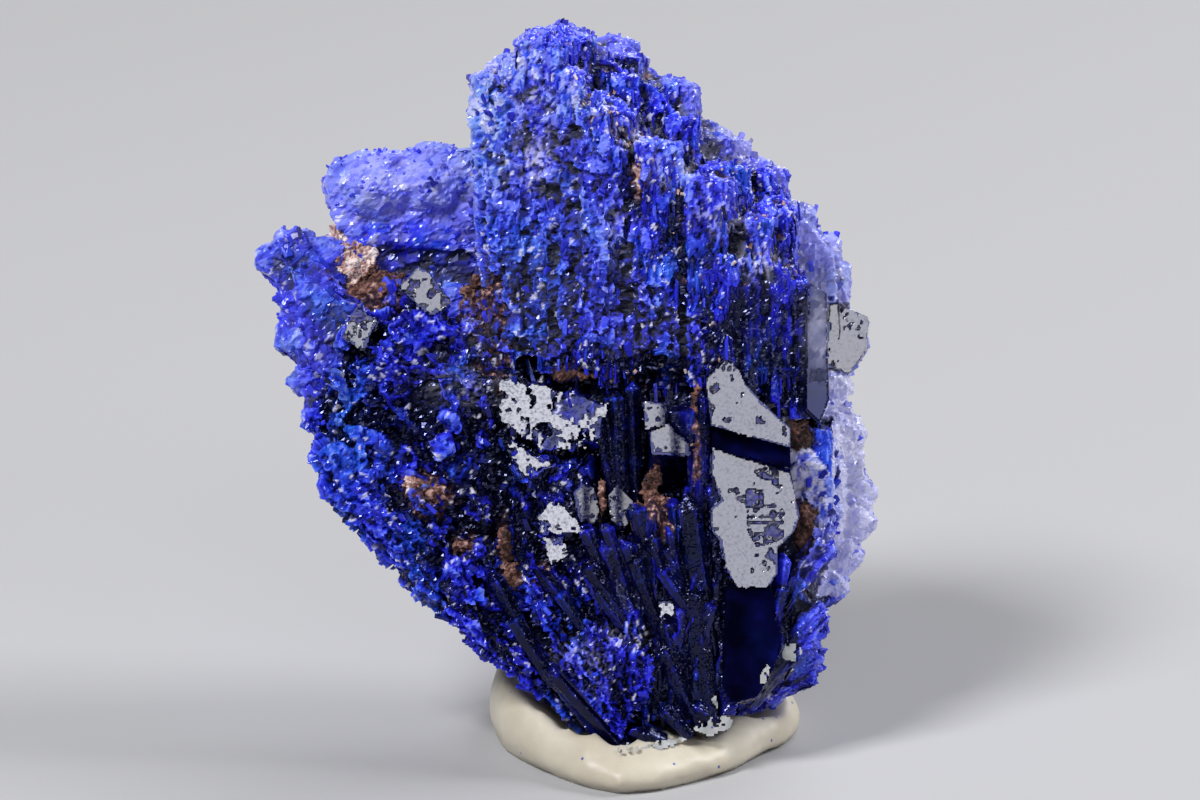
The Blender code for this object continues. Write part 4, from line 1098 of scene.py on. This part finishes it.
def clay_lumps():
    """Crumbling clay, sunk into the clefts."""
    base_places, base_triangles = ball_shape(4)
    shapes, centres, sizes = [], [], []
    for a, u, d, half_a, half_u, half_d, _ in CLAY:
        centre = np.array(sight(a, u, d + 0.75 * half_d))
        axes = np.stack([RIGHTWARD * half_a, UP * half_u, DEEP * half_d]) * MM
        places = centre + base_places @ axes
        size = 0.5 * (half_a + half_u) * MM
        swell = 0.4 * smooth_noise(places / size, 41) + 0.4 * smooth_noise(places / (0.4 * size), 42)
        shapes.append((centre + (places - centre) * (1 + swell)[:, None], base_triangles))
        centres.append(centre)
        sizes.append(size)
    obj = joined("clay_plugs", shapes)
    places, numbers = roughen(obj, CLAY_VOXEL, ((0.5, 0.22), (0.2, 0.16), (0.11, 0.1)))
    away = np.linalg.norm(places[:, None, :] - np.array(centres)[None], axis=2) / np.array(sizes)
    tones = np.array([spot[6] for spot in CLAY])[np.argmin(away, axis=1)]
    tones = tones + 0.5 * (numbers[:, 1] - 0.5) + 0.25 * smooth_noise(places / (0.5 * MM), 46)
    add_attribute(obj.data, "tone", np.clip(tones - 0.08, 0.0, 1.0))
    finish_piece(obj, clay)


def blade_shape(foot, tip, width, thick, turn):
    """A six-sided blade from foot to tip with a lopsided chisel end, as places and triangles."""
    start, stop = (np.array(sight(*end)) for end in (foot, tip))
    along = unit(stop - start)
    facing = unit(-DEEP + along * (DEEP @ along))
    facing = facing * math.cos(turn) + np.cross(along, facing) * math.sin(turn)
    across = np.cross(facing, along)
    half, deep = 0.5 * width * MM, 0.5 * thick * MM
    cut = half * rng.uniform(0.5, 0.8)
    section = [(cut, deep), (half, 0.0), (cut, -deep), (-cut, -deep), (-half, 0.0), (-cut, deep)]
    shoulder = stop - along * (width * rng.uniform(0.3, 0.9)) * MM
    points = [start + 0.7 * across * x + 0.7 * facing * y for x, y in section]
    points += [shoulder + across * x + facing * y for x, y in section]
    points += [stop + across * cut * rng.uniform(-0.6, 0.6), stop - facing * 0.6 * deep + across * 0.3 * cut]
    return hull_shape(points)


# foot and tip across, up and deep, width, thickness, turn in degrees, tone
BLADES = [
    ((2.7, 4.0, 0.2), (1.7, 10.4, -0.5), 0.95, 0.9, -22, 0.2),
    ((1.8, 5.4, 0.3), (1.1, 10.1, -0.1), 0.6, 0.7, 24, 0.2),
    ((0.2, 7.2, 0.1), (-0.35, 9.9, -0.5), 0.8, 0.7, 25, 0.24),
    ((0.9, 6.6, -0.1), (0.3, 8.7, -0.6), 0.5, 0.5, -30, 0.18),
    ((1.7, 5.2, 0.0), (0.1, 8.5, -0.6), 0.5, 0.5, 35, 0.16),
    ((2.0, 5.0, -0.1), (0.9, 8.3, -0.6), 0.45, 0.6, -35, 0.16),
    ((2.0, 5.4, 0.0), (1.5, 9.0, -0.4), 0.42, 0.5, 40, 0.2),
    ((2.3, 4.8, -0.2), (0.6, 7.4, -0.7), 0.75, 0.6, 32, 0.22),
    ((1.0, 4.0, 0.0), (-0.5, 7.9, -0.6), 0.6, 0.6, -38, 0.14),
    ((0.6, 4.4, 0.0), (-0.9, 8.5, -0.55), 0.5, 0.5, 42, 0.2),
    ((1.8, 1.8, 0.1), (0.75, 5.6, -0.35), 1.0, 0.8, 30, 0.14),
    ((2.6, 1.5, 0.1), (1.9, 6.8, -0.3), 1.1, 1.0, -32, 0.18),
    ((2.1, 0.9, 0.1), (0.6, 4.4, -0.3), 0.9, 0.9, 36, 0.1),
    ((3.3, 0.9, 0.1), (1.7, 2.0, -0.3), 0.55, 0.6, -40, 0.22),
    ((-0.4, 5.2, 0.0), (-1.6, 9.1, -0.5), 0.6, 0.6, 38, 0.22),
    ((-0.8, 5.2, 0.0), (-2.4, 9.0, -0.25), 0.65, 0.6, -40, 0.24),
    ((-0.3, 4.6, -0.1), (-2.4, 7.6, -0.45), 0.7, 0.7, 32, 0.16),
    ((-0.5, 4.4, -0.2), (-2.0, 6.5, -0.5), 0.5, 0.5, -34, 0.22),
    ((-1.0, 8.8, 0.7), (-1.25, 14.4, 0.4), 0.85, 0.9, 26, 0.18),
    ((-0.3, 9.6, 0.9), (-0.5, 14.8, 0.5), 0.6, 0.7, -30, 0.14),
    ((2.5, 8.4, 0.0), (2.3, 14.4, -0.2), 0.4, 0.5, 38, 0.14),
    ((-1.2, 9.8, 0.5), (-1.9, 13.8, 0.2), 0.5, 0.6, -35, 0.22),
    ((5.1, 4.8, 0.2), (5.6, 7.9, 0.0), 0.5, 0.6, 40, 0.5),
    ((5.0, 4.0, 0.2), (5.5, 6.6, -0.1), 0.4, 0.5, -40, 0.4),
    ((-2.6, 5.2, 0.2), (-4.4, 7.4, -0.1), 0.7, 0.8, 30, 0.2),
    ((-3.6, 2.6, 0.3), (-5.4, 5.6, 0.1), 0.8, 0.8, -32, 0.16),
    ((-2.4, 4.8, 0.0), (-3.6, 6.6, -0.2), 0.6, 0.6, -38, 0.28),
    ((-4.6, 4.2, 0.3), (-6.2, 7.2, 0.1), 0.6, 0.8, 34, 0.2),
    ((-0.6, -0.2, -0.2), (-3.9, 3.5, -0.2), 0.9, 0.8, 34, 0.1),
    ((0.8, 0.4, -0.4), (-0.6, 0.9, -0.7), 0.9, 0.8, 40, 0.12),
    ((1.8, 0.6, -0.4), (0.6, 1.9, -0.6), 0.7, 0.7, -36, 0.14),
    ((1.5, 5.9, -0.3), (0.9, 9.0, -0.75), 0.34, 0.4, 20, 0.3),
]


def front_blades():
    """The slender crystals that stand in the hollow of the front, finely stepped, with painted light on their
    edges and darker towards their feet.
    """
    obj = joined("front_blades", [blade_shape(*blade[:4], math.radians(blade[4])) for blade in BLADES])
    places, numbers = roughen(obj, BLADE_VOXEL, ((0.6, 0.03), (0.16, 0.02)))
    feet, tips = (np.array([sight(*blade[k]) for blade in BLADES]) for k in (0, 1))
    along = tips - feet
    share = np.clip(((places[:, None] - feet) * along).sum(axis=2) / (along**2).sum(axis=1), 0, 1)
    nearest = np.argmin(np.linalg.norm(places[:, None] - feet - share[..., None] * along, axis=2), axis=1)
    rounded = spread_over_edges(obj.data, places, 10)
    normals = points_of(obj.data)[1]
    blade_edge_light = np.sum((places - rounded) * normals, axis=1) / (BLADE_VOXEL * MM)
    tones = np.array([blade[5] for blade in BLADES])[nearest] - 0.04 + 0.1 * (numbers[:, 1] - 0.5)
    # painted light: the edges of the blades are lit up
    tones += 0.42 * np.clip(blade_edge_light - 0.3, -0.3, 1.0) + 0.2 * smooth_noise(places / (0.6 * MM), 47)
    # darker towards each blade's foot
    tones *= np.clip(0.35 + 0.9 * share[np.arange(len(places)), nearest], 0.0, 1.1)
    add_attribute(obj.data, "tone", np.clip(tones, 0.0, 0.8))
    add_attribute(obj.data, "polish", 0.9 * (numbers[:, 0] > 0.45))
    finish_piece(obj, blade_blue)


clay_lumps()
front_blades()


# ---------------------------------------------------------------- planted crystals
# number to a square mm, length and width ranges, thickness to width,
# weights of up, fan and outward in the direction of growth, scatter of it, tone and its spread
PLANTS = {
    "back_knob": (2.0, (0.15, 0.3), (0.08, 0.16), 0.9, (0.3, 0.0, 0.8), 0.5, 0.78, 0.15),
    "crown_sponge": (1.2, (0.2, 0.6), (0.1, 0.26), 0.8, (1.0, 0.0, 0.7), 0.45, 0.60, 0.25),
    "crown_front": (1.4, (0.3, 0.8), (0.06, 0.14), 0.8, (1.0, 0.0, 0.03), 0.08, 0.5, 0.3),
    "crown_glass": (0.6, (0.5, 1.2), (0.06, 0.12), 0.8, (1.0, 0.0, 0.0), 0.05, 0.4, 0.25),
    "crown_top": (1.0, (0.2, 0.4), (0.1, 0.22), 0.9, (1.0, 0.0, 0.5), 0.35, 0.6, 0.22),
    "back_ridge": (0.6, (0.3, 0.5), (0.14, 0.26), 0.9, (1.0, 0.0, 0.5), 0.35, 0.62, 0.22),
    "far_blades": (0.6, (0.3, 0.6), (0.12, 0.24), 0.8, (0.0, 1.0, 0.3), 0.35, 0.62, 0.22),
    "left_plate": (0.9, (0.2, 0.5), (0.1, 0.22), 0.6, (0.0, 1.0, 0.3), 0.4, 0.46, 0.26),
    "right_flank": (0.8, (0.2, 0.6), (0.12, 0.26), 0.7, (0.0, 1.0, 0.3), 0.35, 0.5, 0.25),
    # the flank's light tone is painted glare
    "glare_flank": (0.6, (0.2, 0.4), (0.12, 0.24), 0.7, (0.0, 0.7, 0.7), 0.3, 0.8, 0.15),
    "front_left": (1.0, (0.2, 0.8), (0.1, 0.3), 0.6, (0.0, 1.0, 0.3), 0.35, 0.36, 0.25),
    "front_block": (1.0, (0.2, 0.4), (0.1, 0.24), 0.8, (0.0, 0.7, 0.5), 0.5, 0.5, 0.25),
    "front_low": (0.25, (0.4, 1.4), (0.06, 0.18), 0.6, (0.0, 1.0, 0.0), 0.12, 0.22, 0.22),
    "rear": (0.5, (0.5, 1.2), (0.2, 0.4), 0.7, (0.0, 1.0, 0.3), 0.35, 0.5, 0.22),
}


def plant_zone(name, chosen, recipe):
    crowd, length, width, flat, weights, scatter, tone, spread = recipe
    index = np.flatnonzero(chosen & (guide_relief > -0.6))
    index = index[rng.random(len(index)) < crowd * guide_area[index]]
    count = len(index)
    places = guide_places[index] + rng.normal(0, 0.03 * MM, (count, 3))
    outward = guide_normals[index]
    fan = unit(places - ROOT)
    along = unit(weights[0] * UP + weights[1] * fan + weights[2] * outward + rng.normal(0, scatter, (count, 3)))
    long = rng.uniform(*length, count)
    wide = rng.uniform(*width, count)
    thick = wide * flat * rng.uniform(0.7, 1.2, count)
    facing = outward + rng.normal(0, 0.3, (count, 3))
    tones = tone + spread * rng.normal(0, 0.6, count) + 0.15 * smooth_noise(places / (1.8 * MM), 5)
    lift = rng.uniform(-0.4, 0.1, count) * thick * MM
    foot = places - along * (long * 0.55 * MM)[:, None] + outward * lift[:, None]
    # planted crystals take their zone's frost, with its painted glints and glare
    frost = SKIN[name][2] * rng.random(count)
    plant(
        "crystals_" + name, RODS + BLOCKS, foot, along, facing, wide, thick, long,
        np.clip(tones, 0.02, 0.8), druse, frost=frost,
    )


guide_zones = zones_of(guide_places, guide_normals)
for zone, recipe in PLANTS.items():
    plant_zone(zone, guide_zones[zone], recipe)


def crest_crumbs():
    """Pinkish crumbs of clay caught between the tips of the crown."""
    a, u, d = to_sight(guide_places)
    crest = np.exp(-(((u + 0.95 * a - 24.2) / 1.3) ** 2)) * (a > -3.0) * (d < 6.0) + 0.12
    seats = guide_zones["crown_front"] | guide_zones["crown_top"] | guide_zones["back_ridge"]
    crest *= np.clip(0.5 + 3.0 * smooth_noise(guide_places / (0.7 * MM), 91), 0.0, 2.0)
    index = np.flatnonzero(seats & (rng.random(len(a)) < 2.0 * crest * guide_area) & (guide_relief < 0.4))
    count = len(index)
    along = unit(UP + rng.normal(0, 0.7, (count, 3)))
    wide = rng.uniform(0.05, 0.12, count)
    plant(
        "crest_crumbs", BLOCKS, guide_places[index] - along * (0.04 * MM), along, guide_normals[index],
        wide, wide * 0.7, wide * rng.uniform(0.8, 2.4, count), rng.uniform(0.6, 1.0, count), clay,
    )


crest_crumbs()


# ---------------------------------------------------------------- camera, light, floor
def add_camera():
    back = Vector((0, -math.cos(LOOK_DOWN), math.sin(LOOK_DOWN)))
    target = Vector((-1.8, -1.02, 14.57)) * MM
    camera = bpy.data.cameras.new("display_camera")
    camera.lens = 187.5
    camera.sensor_width = 36.0
    camera.clip_start = 0.01
    obj = bpy.data.objects.new("display_camera", camera)
    bpy.context.scene.collection.objects.link(obj)
    obj.location = target + back * 0.25
    obj.rotation_euler = (-back).to_track_quat("-Z", "Y").to_euler()
    bpy.context.scene.camera = obj


def add_panel(name, azimuth, elevation, distance, size, radiance, colour="#ffffff"):
    """A soft square light that faces the specimen: where it stands, its side, and how bright it looks."""
    a, e = math.radians(azimuth), math.radians(elevation)
    away = Vector((math.sin(a) * math.cos(e), -math.cos(a) * math.cos(e), math.sin(e)))
    light = bpy.data.lights.new(name, "AREA")
    light.shape = "RECTANGLE"
    light.size, light.size_y = size
    light.energy = radiance * math.pi * size[0] * size[1]
    light.color = linear(colour)[:3]
    obj = bpy.data.objects.new(name, light)
    bpy.context.scene.collection.objects.link(obj)
    obj.location = Vector((0, 0, 0.014)) + away * distance
    obj.rotation_euler = (-away).to_track_quat("-Z", "Y").to_euler()


def set_stage():
    bpy.ops.object.select_all(action="DESELECT")
    bpy.ops.mesh.primitive_plane_add(size=2.4, location=(0, 0.4, 0))
    floor = bpy.context.object
    floor.name = "floor"
    material, tree = new_material("pale_floor")
    shader = add_node(
        tree, "ShaderNodeBsdfPrincipled", inputs={"Base Color": linear("#a9a9ac"), "Roughness": 0.9}
    )
    output(tree, shader)
    floor.data.materials.append(material)
    world = bpy.data.worlds.new("studio")
    world.use_nodes = True
    world.node_tree.nodes["Background"].inputs["Color"].default_value = linear("#c8ccd8")
    world.node_tree.nodes["Background"].inputs["Strength"].default_value = 0.04
    bpy.context.scene.world = world
    bpy.context.scene.view_settings.view_transform = "Standard"
    add_panel("mirror_panel", 7, 30, 0.6, (0.2, 0.17), 4.4, "#f4f5ff")
    add_panel("side_panel", 38, 22, 0.6, (0.22, 0.22), 2.8)
    add_panel("key_panel", -48, 50, 0.6, (0.17, 0.17), 40.0)
    add_panel("back_panel", 150, 42, 0.6, (0.3, 0.25), 7.0)
    add_panel("rim_panel", 100, 40, 0.6, (0.22, 0.22), 15.0)


add_camera()
set_stage()
